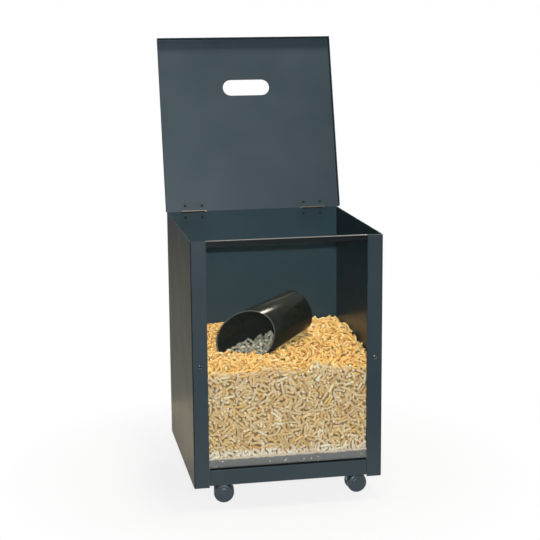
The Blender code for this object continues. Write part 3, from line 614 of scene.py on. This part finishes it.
def step_in(inset, rise):
    """Insets the selected face, then lifts or sinks the new one."""
    bpy.ops.mesh.inset(thickness=inset)
    bpy.ops.transform.translate(value=(0, 0, rise))


def apply_modifiers(item):
    bpy.context.view_layer.objects.active = item
    for modifier in list(item.modifiers):
        bpy.ops.object.modifier_apply(modifier=modifier.name)


def settle(item, angle):
    """Puts the object's place into its mesh and shades it smooth, apart from its sharp edges."""
    bpy.ops.object.select_all(action="DESELECT")
    item.select_set(True)
    bpy.context.view_layer.objects.active = item
    bpy.ops.object.transform_apply(location=True, rotation=True, scale=True)
    bpy.ops.object.shade_smooth_by_angle(angle=math.radians(angle))


# %% [markdown]
# ## Wheels
# Each caster has two wheels with a rounded tread and a domed face, on which a groove rings a flat cap. A
# wheel starts as a cylinder. Its outer rim is rounded with a bevel, and the face is worked inwards by
# insets that rise, drop into the groove and rise again to the cap. It is modelled once and copied.

# %% Model one wheel
WHEEL_RADIUS, WHEEL_WIDTH, WHEEL_SIDES = 0.020, 0.011, 56
FACE_HEIGHT = 0.0092
RIM_ROUND, INNER_ROUND = 0.0050, 0.0014
CAP_RADIUS = 0.0112
GROOVE_WIDTH, DOME_RISE = 0.0006, 0.0006
# each step: how far inwards and how far up
GROOVE_STEPS = ((0.0003, -0.0001), (0.0001, -0.0004), (0.0003, 0.0), (0.0001, 0.0005))
CAP_STEPS = ((0.0004, 0.0002), (0.0030, 0.0005), (0.0030, 0.0003))

bpy.ops.object.select_all(action="DESELECT")
bpy.ops.mesh.primitive_cylinder_add(
    vertices=WHEEL_SIDES, radius=WHEEL_RADIUS, depth=FACE_HEIGHT, location=(0, 0, FACE_HEIGHT / 2)
)
wheel = bpy.context.object
wheel.name = "caster_wheel"
bpy.ops.object.transform_apply(location=True)
bpy.ops.object.mode_set(mode="EDIT")
pick_edges(wheel, lambda point: point.z > FACE_HEIGHT / 2)
bpy.ops.mesh.bevel(offset=RIM_ROUND, segments=5, affect="EDGES")
pick_edges(wheel, lambda point: point.z < 1e-6)
bpy.ops.mesh.bevel(offset=INNER_ROUND, segments=3, affect="EDGES")
pick_faces(wheel, lambda middle, normal: normal.z > 0.99 and middle.z > FACE_HEIGHT - 1e-4)
step_in(WHEEL_RADIUS - RIM_ROUND - CAP_RADIUS - GROOVE_WIDTH, DOME_RISE)
for inset, rise in GROOVE_STEPS + CAP_STEPS:
    step_in(inset, rise)
bpy.ops.object.mode_set(mode="OBJECT")
print("wheel faces:", len(wheel.data.polygons), "height:", round(wheel.dimensions.z, 4))

# %% Fit a wheel on each axle end
for corner in ("front_left", "front_right", "back_left", "back_right"):
    for mark in "ab":
        name = f"caster_{corner}_wheel_{mark}"
        spin = joints[f"{name}_spin"]
        hub, axle = Vector(spin["pos_m"]), Vector(spin["axis"])
        low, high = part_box(name)
        out = ((low + high) / 2 - hub).dot(axle)
        facing = axle if out > 0 else -axle
        copy = wheel.copy()
        copy.data = wheel.data.copy()
        copy.name = f"{name}_shell"
        bpy.context.scene.collection.objects.link(copy)
        turn = Vector((0, 0, 1)).rotation_difference(facing).to_matrix().to_4x4()
        copy.matrix_world = Matrix.Translation(hub + facing * (abs(out) - WHEEL_WIDTH / 2)) @ turn
        settle(copy, 32)
        copy.data.materials.append(caster_plastic)
        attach(copy, name)
        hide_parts(name)
bpy.data.objects.remove(wheel)
print("wheels fitted")

# %% [markdown]
# ## Scoop
# The scoop is a tapered cup of glossy black plastic with a slanted mouth. It starts as a cone with its wide
# end taken off. The closed end's edge is rounded, a bisect cuts the slanted mouth, Solidify gives the wall
# its thickness inwards, and a bevel softens the lip. It is modelled lying in place, so the cut uses the
# mouth's own plane.

# %% Model the scoop
SCOOP_MOUTH = Vector((-0.058, -0.08974, 0.3117))
SCOOP_LENGTH, SCOOP_WALL, SCOOP_END_ROUND = 0.147, 0.002, 0.006
SCOOP_RADIUS, SCOOP_END_RADIUS = 0.053, 0.0446
SCOOP_OVERRUN = 2 * SCOOP_RADIUS
SCOOP_SIDES = 96
LIP_ROUND, LIP_SHARP = 0.0005, 50


def heading(turn, rise):
    """A direction, from degrees round the upright and degrees above the floor."""
    turn, rise = math.radians(turn), math.radians(rise)
    return Vector((math.cos(rise) * math.cos(turn), math.cos(rise) * math.sin(turn), math.sin(rise)))


scoop_axis = heading(turn=27.3, rise=16.0)
mouth_facing = heading(turn=240.4, rise=5.0)


def scoop_radius(along):
    return SCOOP_RADIUS + (SCOOP_END_RADIUS - SCOOP_RADIUS) * along / SCOOP_LENGTH


bpy.ops.object.select_all(action="DESELECT")
bpy.ops.mesh.primitive_cone_add(
    vertices=SCOOP_SIDES, radius1=scoop_radius(-SCOOP_OVERRUN), radius2=SCOOP_END_RADIUS,
    depth=SCOOP_LENGTH + SCOOP_OVERRUN,
    location=SCOOP_MOUTH + scoop_axis * (SCOOP_LENGTH - SCOOP_OVERRUN) / 2,
    rotation=scoop_axis.to_track_quat("Z", "Y").to_euler(),
)
scoop = bpy.context.object
scoop.name = "scoop_cup"
bpy.ops.object.transform_apply(location=True, rotation=True)
bpy.ops.object.mode_set(mode="EDIT")
pick_faces(scoop, lambda middle, normal: normal.dot(scoop_axis) < -0.99)
bpy.ops.mesh.delete(type="FACE")
pick_edges(scoop, lambda point: (point - SCOOP_MOUTH).dot(scoop_axis) > SCOOP_LENGTH - 1e-5)
bpy.ops.mesh.bevel(offset=SCOOP_END_ROUND, segments=5, affect="EDGES")
bpy.ops.mesh.select_all(action="SELECT")
bpy.ops.mesh.bisect(plane_co=SCOOP_MOUTH, plane_no=mouth_facing, clear_outer=True)
bpy.ops.object.mode_set(mode="OBJECT")
wall = scoop.modifiers.new("wall", "SOLIDIFY")
wall.thickness = SCOOP_WALL
wall.offset = -1
wall.use_even_offset = True
lip = scoop.modifiers.new("lip", "BEVEL")
lip.width = LIP_ROUND
lip.segments = 2
lip.limit_method = "ANGLE"
lip.angle_limit = math.radians(LIP_SHARP)
apply_modifiers(scoop)
settle(scoop, 40)
print("scoop faces:", len(scoop.data.polygons))

# %% [markdown]
# The plastic is black and glossy, with clouds in its gloss. A pale grey band on the lip is a painted
# highlight: the finish finds it as the points within a millimetre of the mouth's plane.

# %% Make it glossy black
# the lip's pale grey is a painted highlight
LIP_DEPTH, LIP_PAINTED_HIGHLIGHT = 0.0009, (0.13, 0.135, 0.125)

black_gloss = new_finish("black_gloss_plastic", (0.006, 0.009, 0.004), 0.2, specular=0.18)
place = place_on(black_gloss)
from_mouth = reckon(black_gloss, "SUBTRACT", place, SCOOP_MOUTH, kind="VectorMath", out="Vector")
before_mouth = reckon(black_gloss, "DOT_PRODUCT", from_mouth, mouth_facing, kind="VectorMath")
lip_highlight = reckon(black_gloss, "GREATER_THAN", before_mouth, -LIP_DEPTH)
body_black = cloudy(black_gloss, 60.0, (0.004, 0.006, 0.003), (0.009, 0.012, 0.006))
set_color(black_gloss, mix(black_gloss, lip_highlight, body_black, (*LIP_PAINTED_HIGHLIGHT, 1.0)))
uneven_gloss(black_gloss, 25.0, 0.13, 0.21)
fine_dents(black_gloss, 90.0, 0.04, 0.0006)
scoop.data.materials.append(black_gloss)
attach(scoop, "scoop")
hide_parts("pellet_scoop")
print("scoop finished, lip within", 1000 * LIP_DEPTH, "mm of its mouth")

# %% [markdown]
# ## Pellets
# A pellet is a stick of pressed wood, over 5 mm thick, snapped to a random length. Three of them are
# modelled:
# one with square ends and two with slanted breaks. They have the same corners in the same order,
# so a copy of any one is the same list of faces with other points.

# %% Model three pellets
PELLET_RADIUS = 0.0027
PELLET_SIDES = 8
END_CHAMFER, END_RISE = 0.16, 0.03
BREAK_SLANTS = ((0.0, 0.0), (0.22, -0.10), (-0.30, 0.18))
SLANT_SHARE = 0.3


def snap_end(item, end, slant):
    """Chamfers one end of a stick and slants its break; radius and length are both one."""
    pick_faces(item, lambda middle, normal: normal.z * end > 0.9)
    bpy.ops.mesh.inset(thickness=END_CHAMFER)
    bpy.ops.transform.translate(value=(0, 0, end * END_RISE))
    bpy.ops.transform.rotate(value=slant * SLANT_SHARE, orient_axis="X", center_override=(0, 0, end * 0.5))


pellet_models = []
for slants in BREAK_SLANTS:
    bpy.ops.object.select_all(action="DESELECT")
    bpy.ops.mesh.primitive_cylinder_add(vertices=PELLET_SIDES, radius=1.0, depth=1 - 2 * END_RISE)
    stick = bpy.context.object
    bpy.ops.object.mode_set(mode="EDIT")
    for end, slant in zip((-1, 1), slants):
        snap_end(stick, end, slant)
    bpy.ops.object.mode_set(mode="OBJECT")
    pellet_models.append(np.array([vert.co for vert in stick.data.vertices]))
    pellet_faces = [list(face.vertices) for face in stick.data.polygons]
    bpy.data.objects.remove(stick)
pellet_models = np.array(pellet_models)
print("pellet corners:", pellet_models.shape[1], "faces:", len(pellet_faces))

# %% [markdown]
# ## Laying sticks without crossing them
# Pellets that lie against the pane, or on top of the heap, form a layer one pellet deep. The layer is
# laid on a flat sheet first: sticks are thrown at random, the long ones before the short ones, and one
# that comes too close to an earlier one is thrown away. Neighbours point much the same way, since poured
# pellets lie in bundles, which also packs them closer. The gaps are filled by a second layer behind.

# %% Write the stick thrower
SHORTEST, LONGEST, FAVOUR_SHORT = 0.0065, 0.020, 1.3
BUNDLE_SWING, BUNDLE_SHIFT, BUNDLE_SPREAD = 1.3, 2.0, 0.7
BUNDLE_WAVE, BUNDLE_CROSS_WAVE = (47.0, 35.0), (-31.0, 52.0)
rng = np.random.default_rng(20)


def grain(points):
    """Heading of the bundles: it swings slowly over the sheet."""
    cross = np.sin(points @ BUNDLE_CROSS_WAVE + BUNDLE_SHIFT)
    return BUNDLE_SWING * (np.sin(points @ BUNDLE_WAVE) + cross)


def point_gaps(points, starts, ends):
    """Distance from each point to each segment, in the plane."""
    run = ends - starts
    share = np.einsum("pik,ik->pi", points[:, None] - starts, run) / np.maximum((run ** 2).sum(-1), 1e-12)
    foot = starts + np.clip(share, 0, 1)[..., None] * run
    return np.linalg.norm(points[:, None] - foot, axis=-1)


def throw_sticks(low, high, tries, spacing, allowed, end_on, ends_first=0):
    """Sticks on a sheet as (middle, angle, length); those that stand on end have no length."""
    starts, ends, kept = np.empty((0, 2)), np.empty((0, 2)), []
    lengths = np.sort(SHORTEST + (LONGEST - SHORTEST) * rng.random(tries) ** FAVOUR_SHORT)[::-1]
    lengths[int(tries * (1 - end_on)):] = 2 * PELLET_RADIUS
    lengths[:ends_first] = 2 * PELLET_RADIUS
    middles = rng.uniform(low, high, (tries, 2))
    angles = grain(middles) + rng.normal(0, BUNDLE_SPREAD, tries)
    for length, middle, angle in zip(lengths, middles, angles):
        way = np.array((math.cos(angle), math.sin(angle)))
        half = (length / 2 - PELLET_RADIUS) * way
        points = middle + np.linspace(-1, 1, 7)[:, None] * half
        if not allowed(middle, PELLET_RADIUS * way + half):
            continue
        if len(kept):
            if point_gaps(points, starts, ends).min() < spacing:
                continue
            both = np.concatenate((starts, ends))
            if point_gaps(both, points[:1], points[-1:]).min() < spacing:
                continue
        starts = np.vstack((starts, points[:1]))
        ends = np.vstack((ends, points[-1:]))
        kept.append((middle, angle, length if length > 2 * PELLET_RADIUS else 0.0))
    return kept


# %% [markdown]
# A layer of pellets becomes one piece. Thousands of objects would be slow, so the corners of all its sticks
# are reckoned at once and made into one mesh. Each point keeps its pellet's tone and dust for the finish,
# and the broken ends are paler.

# %% Write the pellet builder
THINNEST = 0.94
END_PALER, END_STARTS = 0.30, 0.485


def lay(layer, **stick):
    """Adds one stick's values to the lists of a layer."""
    for key, value in stick.items():
        layer.setdefault(key, []).append(value)


def build_pellets(name, middles, axes, lengths, tones, dust, body):
    """One piece from many pellets; tone and dust are kept on its points."""
    count = len(middles)
    middles, axes, lengths = np.array(middles), np.array(axes), np.array(lengths)
    axes = axes / np.linalg.norm(axes, axis=1)[:, None]
    helper = np.where(np.abs(axes[:, 2:]) < 0.9, (0.0, 0.0, 1.0), (1.0, 0.0, 0.0))
    side = np.cross(axes, helper)
    side /= np.linalg.norm(side, axis=1)[:, None]
    other = np.cross(axes, side)
    roll = rng.uniform(0, 2 * math.pi, count)[:, None]
    side, other = side * np.cos(roll) + other * np.sin(roll), other * np.cos(roll) - side * np.sin(roll)
    models = pellet_models[rng.integers(0, len(pellet_models), count)]
    thick = PELLET_RADIUS * rng.uniform(THINNEST, 1.0, count)
    corners = (
        middles[:, None]
        + (models[:, :, :1] * side[:, None] + models[:, :, 1:2] * other[:, None]) * thick[:, None, None]
        + models[:, :, 2:] * (axes * lengths[:, None])[:, None]
    )
    per = models.shape[1]
    faces = [[corner + per * i for corner in face] for i in range(count) for face in pellet_faces]
    mesh = bpy.data.meshes.new(name)
    mesh.from_pydata(corners.reshape(-1, 3).tolist(), [], faces)
    pale_ends = END_PALER * (np.abs(models[:, :, 2]) > END_STARTS)
    tones = np.array(tones)[:, None] + pale_ends
    dust = np.repeat(np.array(dust)[:, None], per, axis=1)
    for key, values in (("tone", tones), ("dust", dust)):
        attribute = mesh.attributes.new(key, "FLOAT", "POINT")
        attribute.data.foreach_set("value", values.astype(np.float32).ravel())
    item = bpy.data.objects.new(name, mesh)
    bpy.context.scene.collection.objects.link(item)
    settle(item, 50)
    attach(item, body)
    print(name, count, "pellets", sum(len(face) - 2 for face in pellet_faces) * count, "triangles")
    return item


# %% [markdown]
# ## Where the heap is
# The heap's solid gives the height of the fill at every point, with the bed that the scoop has pressed
# into it. A search tree of that solid answers how high it is. Another one of the scoop's solid keeps the
# pellets out of the scoop and out of the space above it, so that the scoop can be lifted straight up.
# Against the pane the fill line is ragged: loose pellets are banked up there, two or three on each other.

# %% Measure the heap
heap_low, heap_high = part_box("pellet_heap")
pane_back = pane_high.y
clip_low, clip_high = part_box("window_clip_right")
CLEAR = 0.0004
FILL_DEPTH = 0.004
DOWN = Vector((0, 0, -1))
# each bank: its middle, spread and height
BANKS = ((-0.032, 0.024, 0.009), (0.068, 0.032, 0.013))
BANK_REACH = 0.020


def tree_of(name):
    shape = bmesh.new()
    shape.from_mesh(nodes[name].data)
    tree = BVHTree.FromBMesh(shape)
    shape.free()
    return tree


heap_tree, scoop_tree = tree_of("pellet_heap"), tree_of("pellet_scoop")


def banked(x, y):
    """How much higher the loose pellets lie near the pane."""
    rise = sum(height * math.exp(-((x - middle) / spread) ** 2) for middle, spread, height in BANKS)
    return rise * math.exp(-((y - pane_back) / BANK_REACH) ** 2)


def heap_top(x, y):
    """Height and upward normal of the heap at a place, or None beside it."""
    spot, normal, _, _ = heap_tree.ray_cast(Vector((x, y, 1.0)), DOWN)
    if spot is None:
        return None
    return spot.z + banked(x, y), normal


def meets_scoop(middle, axis, length):
    """Whether a pellet is in the scoop's way when it is lifted."""
    for share in (-0.5, -0.25, 0.0, 0.25, 0.5):
        point = Vector(middle) + Vector(axis) * length * share
        if scoop_tree.find_nearest(point)[3] < PELLET_RADIUS + CLEAR:
            return True
        for dx, dy in ((0, 0), (1, 0), (-1, 0), (0, 1), (0, -1)):
            side = Vector((dx, dy, 0)) * (PELLET_RADIUS + CLEAR)
            if scoop_tree.ray_cast(point + side, DOWN)[0] is not None:
                return True
    return False


print("heap:", [round(v, 3) for v in heap_low], [round(v, 3) for v in heap_high])

# %% [markdown]
# ## Pellets behind the pane
# Pellets press flat against the glass. Some point at it, so that only their round ends show. Two layers
# are laid in the plane of the pane, up to the fill line, and each stick is tilted a little into the heap. The
# layer behind gets a lower tone: painted shade.

# %% Lay the pellets behind the pane
END_ON_SHARE, END_ON_LEAN, END_ON_LENGTHS = 0.45, 0.3, (0.009, 0.015)
ENDS_FIRST = 420
FLAT_TILT = 0.10
TONE_SPREAD = 0.17
BELOW_PAN_TOP = 0.006
FOOT_ROWS, FOOT_PALER = 0.012, 0.30
# each layer: depth behind the glass, throws, spacing and tone; the layer behind has a lower tone as painted
# shade
FRONT_LAYERS = ((0.0, 14000, 0.0047, 0.56), (0.0030, 8000, 0.0050, 0.46))
FRESH_CORNER, FRESH_DEPTH = (0.172, 0.035), 0.011
FOOT_DUST, FRESH_DUST, RUBBED_DUST = (1.0, 1.0), (0.0, 0.3), (0.25, 1.0)
CLIP_MARGIN = 0.004
front = {}


def behind_pane(x):
    """Where the pellets' front is: the glass, or the clips beside it."""
    return (pane_back if abs(x) < clip_low.x - CLIP_MARGIN else clip_high.y) + CLEAR


def below_fill(middle, run):
    for end in (middle - run, middle + run):
        if not heap_low.x + CLEAR < end[0] < heap_high.x - CLEAR:
            return False
        top = heap_top(end[0], heap_low.y + FILL_DEPTH)
        if top is None or end[1] > top[0] - PELLET_RADIUS:
            return False
    return True


def is_fresh(middle):
    """Whether a pellet has just run down to the pane, in the corner on the right."""
    corner, spread = FRESH_CORNER
    deep = FRESH_DEPTH * math.exp(-((middle[0] - corner) / spread) ** 2)
    top = heap_top(middle[0], heap_low.y + FILL_DEPTH)[0]
    return middle[1] > top - PELLET_RADIUS - deep


for depth, tries, spacing, tone in FRONT_LAYERS:
    low = (heap_low.x, pan_top - BELOW_PAN_TOP)
    high = (heap_high.x, heap_high.z)
    sticks = throw_sticks(low, high, tries, spacing, below_fill, END_ON_SHARE, ENDS_FIRST)
    for middle, angle, length in sticks:
        axis = np.array((math.cos(angle), rng.normal(0, FLAT_TILT), math.sin(angle)))
        if not length:
            axis = np.array((rng.normal(0, END_ON_LEAN), 1.0, rng.normal(0, END_ON_LEAN)))
            length = rng.uniform(*END_ON_LENGTHS)
        axis /= np.linalg.norm(axis)
        inward = PELLET_RADIUS + abs(axis[1]) * length / 2
        spot = (middle[0], behind_pane(middle[0]) + depth + inward, middle[1])
        if meets_scoop(spot, axis, length):
            continue
        at_foot = middle[1] < pan_top + FOOT_ROWS
        paler = FOOT_PALER if at_foot else 0.0
        dusty = FOOT_DUST if at_foot else FRESH_DUST if is_fresh(middle) else RUBBED_DUST
        lay(
            front, middles=spot, axes=axis, lengths=length,
            tones=rng.normal(tone, TONE_SPREAD) + paler, dust=rng.uniform(*dusty),
        )

front_pellets = build_pellets("pellets_behind_pane", **front, body="bin")

# %% [markdown]
# ## Pellets on top
# The same throw covers the heap from above. Each stick is laid along the slope under it and tilted at
# random. A second layer lies below and closes the gaps; its lower tone is painted shade. Strewn ones lie
# across the others. Each layer is a piece of its own, which keeps the pieces light.

# %% Lay the pellets on top
# each layer: name, depth under the heap's top, throws, spacing, tilt and tone; the layer below has a lower
# tone as painted shade
TOP_LAYERS = (
    ("pellets_on_top", 0.0018, 13000, 0.0052, 0.36, 0.55),
    ("pellets_below_top", 0.0064, 8000, 0.0054, 0.20, 0.34),
    ("pellets_strewn", -0.0016, 1500, 0.0105, 0.50, 0.60),
)
STANDING_SHARE, STANDING_LEAN, STANDING_LENGTHS = 0.30, 0.5, (0.009, 0.014)
PANE_RUB = 0.0075
TOP_DUST, PANE_DUST = (0.0, 0.2), (0.45, 0.9)
BED_DEPTH, BED_REACH = 0.0040, 0.012
top_layers = []


def inside_walls(middle, run):
    for end in (middle - run, middle + run):
        if not (heap_low.x + CLEAR < end[0] < heap_high.x - CLEAR):
            return False
        if not (heap_low.y + CLEAR < end[1] < heap_high.y - CLEAR):
            return False
    return True


for name, depth, tries, spacing, tilt, tone in TOP_LAYERS:
    layer = {}
    low, high = (heap_low.x, heap_low.y), (heap_high.x, heap_high.y)
    for middle, angle, length in throw_sticks(low, high, tries, spacing, inside_walls, STANDING_SHARE):
        found = heap_top(*middle)
        if found is None:
            continue
        height, normal = found
        along = Vector((math.cos(angle), math.sin(angle), 0.0))
        axis = (along - normal * (normal.dot(along) - rng.normal(0, tilt))).normalized()
        if not length:
            axis = (normal + along * rng.normal(0, STANDING_LEAN)).normalized()
            length = rng.uniform(*STANDING_LENGTHS)
            height -= length / 2 - PELLET_RADIUS
        under_scoop = scoop_tree.find_nearest(Vector((*middle, height)))[3] < BED_REACH
        spot = Vector((*middle, height)) - normal * (max(depth, BED_DEPTH) if under_scoop else depth)
        if not meets_scoop(spot, axis, length):
            lay(layer, middles=spot, axes=axis, lengths=length)
    count = len(layer["middles"])
    tones, dust = rng.normal(tone, TONE_SPREAD, count), rng.uniform(*TOP_DUST, count)
    at_pane = np.array([spot.y for spot in layer["middles"]]) < pane_back + PANE_RUB
    dust[at_pane] = rng.uniform(*PANE_DUST, at_pane.sum())
    top_layers.append(build_pellets(name, **layer, tones=tones, dust=dust, body="bin"))

# %% [markdown]
# ## Pellets in the scoop
# A small pile has run into the scoop's mouth. Here the sticks are thrown into a volume: a pellet is kept if
# it lies inside the cup, under the pile's slope, and clear of those before it.

# %% Fill the scoop's mouth
PILE_TRIES = 6000
PILE_LOW, PILE_HIGH = (-0.05, -0.04, -0.05), (0.09, 0.06, 0.0)
PILE_LEVEL, PILE_SLOPE = 0.292, 0.24
PILE_RISE, PILE_SPREAD = 8, 24
PILE_LENGTHS = (0.007, 0.013)
# the pile's low tone is painted shade in the scoop's mouth
PILE_SHADED_TONE = 0.4
NEAR_END = 0.4
MIDDLES_APART, ENDS_APART = 0.0054, 0.0045
pile = {"middles": [], "axes": [], "lengths": []}


def in_cup(point):
    along = (point - SCOOP_MOUTH).dot(scoop_axis)
    out = (point - SCOOP_MOUTH - scoop_axis * along).length
    fits = out < scoop_radius(along) - SCOOP_WALL - PELLET_RADIUS - CLEAR
    shut = (point - SCOOP_MOUTH).dot(mouth_facing) > -PELLET_RADIUS
    deep = along > SCOOP_LENGTH - SCOOP_WALL - PELLET_RADIUS
    return fits and not shut and not deep


def crowded(middle, ends):
    """Whether a new pellet comes too close to one that lies in the pile."""
    for old, way, length in zip(pile["middles"], pile["axes"], pile["lengths"]):
        if (old - middle).length < MIDDLES_APART:
            return True
        points = [old + way * length * share for share in (-NEAR_END, 0, NEAR_END)]
        if min((point - end).length for point in points for end in ends) < ENDS_APART:
            return True
    return False


for _ in range(PILE_TRIES):
    middle = SCOOP_MOUTH + Vector(rng.uniform(PILE_LOW, PILE_HIGH))
    axis = heading(rng.uniform(0, 360), rng.normal(PILE_RISE, PILE_SPREAD))
    length = rng.uniform(*PILE_LENGTHS)
    ends = [middle + axis * length * share for share in (-NEAR_END, NEAR_END)]
    if middle.z > PILE_LEVEL + PILE_SLOPE * (middle.x - SCOOP_MOUTH.x):
        continue
    if all(in_cup(end) for end in ends) and not crowded(middle, ends):
        lay(pile, middles=middle, axes=axis, lengths=length)

count = len(pile["middles"])
tones = rng.normal(PILE_SHADED_TONE, TONE_SPREAD, count)
# full dust picks the grey range here: painted shade
scoop_pile = build_pellets("pellets_in_scoop", **pile, tones=tones, dust=np.ones(count), body="scoop")

# %% [markdown]
# ## The heap's core
# Between the sticks one looks into the heap. A copy of the heap's solid, shrunk by a little more than a
# pellet's thickness, stands for all the pellets that are never seen, and closes the view.

# %% Shrink the core
CORE_DEPTH = 0.0072

bpy.ops.object.select_all(action="DESELECT")
core = nodes["pellet_heap"].copy()
core.data = nodes["pellet_heap"].data.copy()
core.name = "heap_core"
core.parent = None
bpy.context.scene.collection.objects.link(core)
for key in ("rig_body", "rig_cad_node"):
    del core[key]
core.data.materials.clear()
core.select_set(True)
bpy.context.view_layer.objects.active = core
bpy.ops.object.mode_set(mode="EDIT")
bpy.ops.mesh.select_all(action="SELECT")
bpy.ops.mesh.remove_doubles(threshold=0.00001)
bpy.ops.mesh.normals_make_consistent(inside=False)
bpy.ops.transform.shrink_fatten(value=-CORE_DEPTH)
bpy.ops.object.mode_set(mode="OBJECT")
settle(core, 50)
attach(core, "bin")
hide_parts("pellet_heap")
print("core faces:", len(core.data.polygons))

# %% [markdown]
# ## Wood of the pellets
# Fresh pellets are golden, and no two are the same: each carries a tone on its points; the lower layers carry
# lower tones, as painted shade. Those that rub on the glass are paler and greyer with dust. Those in the
# scoop
# get a greyer range and a lower tone: that is painted shade. A fine noise breaks the colour up into fibres.

# %% Colour the pellets
TONES = (0.0, 0.3, 0.5, 0.65, 0.8, 1.0)
GOLD = (
    (0.42, 0.19, 0.042), (0.72, 0.38, 0.085), (0.86, 0.51, 0.13),
    (0.84, 0.55, 0.19), (0.94, 0.64, 0.21), (0.95, 0.82, 0.48),
)
DUSTY = (
    (0.40, 0.28, 0.17), (0.64, 0.47, 0.28), (0.79, 0.58, 0.35),
    (0.75, 0.59, 0.40), (0.87, 0.69, 0.48), (0.94, 0.86, 0.72),
)
# painted shade: the greyer colours for the pellets in the scoop's mouth
SHADED_GREYS = (
    (0.30, 0.27, 0.19), (0.46, 0.42, 0.31), (0.58, 0.53, 0.40),
    (0.56, 0.53, 0.42), (0.66, 0.62, 0.49), (0.80, 0.76, 0.63),
)
FIBRE_SHARE = 0.30


def attribute_of(material, name):
    node = add_node(material, "Attribute")
    node.attribute_name = name
    return node, "Fac"


def pellet_finish(name, fresh, dusty):
    """Wood in a pellet's own tone, between a fresh range and a dulled one: dust, and painted shade on the
    scoop's pile.
    """
    material = new_finish(name, (0.6, 0.4, 0.2), 0.7)
    fibres = reckon(material, "MULTIPLY", noise(material, 700.0, 4.0), FIBRE_SHARE)
    tone = reckon(material, "SUBTRACT", attribute_of(material, "tone"), FIBRE_SHARE / 2)
    mixed = reckon(material, "ADD", fibres, tone)
    clean, dulled = (ramp(material, mixed, tuple(zip(TONES, colors))) for colors in (fresh, dusty))
    set_color(material, mix(material, attribute_of(material, "dust"), clean, dulled))
    fine_dents(material, 1600.0, 0.35, 0.0006)
    return material


pellet_wood = pellet_finish("pellet_wood", GOLD, DUSTY)
for item in (front_pellets, *top_layers):
    item.data.materials.append(pellet_wood)
scoop_pile.data.materials.append(pellet_finish("shaded_pellet_wood", GOLD, SHADED_GREYS))
heap_shade = new_finish("heap_shade", (0.27, 0.17, 0.07), 0.8)
mottle(heap_shade, 700.0, (0.20, 0.12, 0.05), (0.34, 0.21, 0.09))
fine_dents(heap_shade, 400.0, 0.5, 0.002)
core.data.materials.append(heap_shade)
print("pellets coloured")
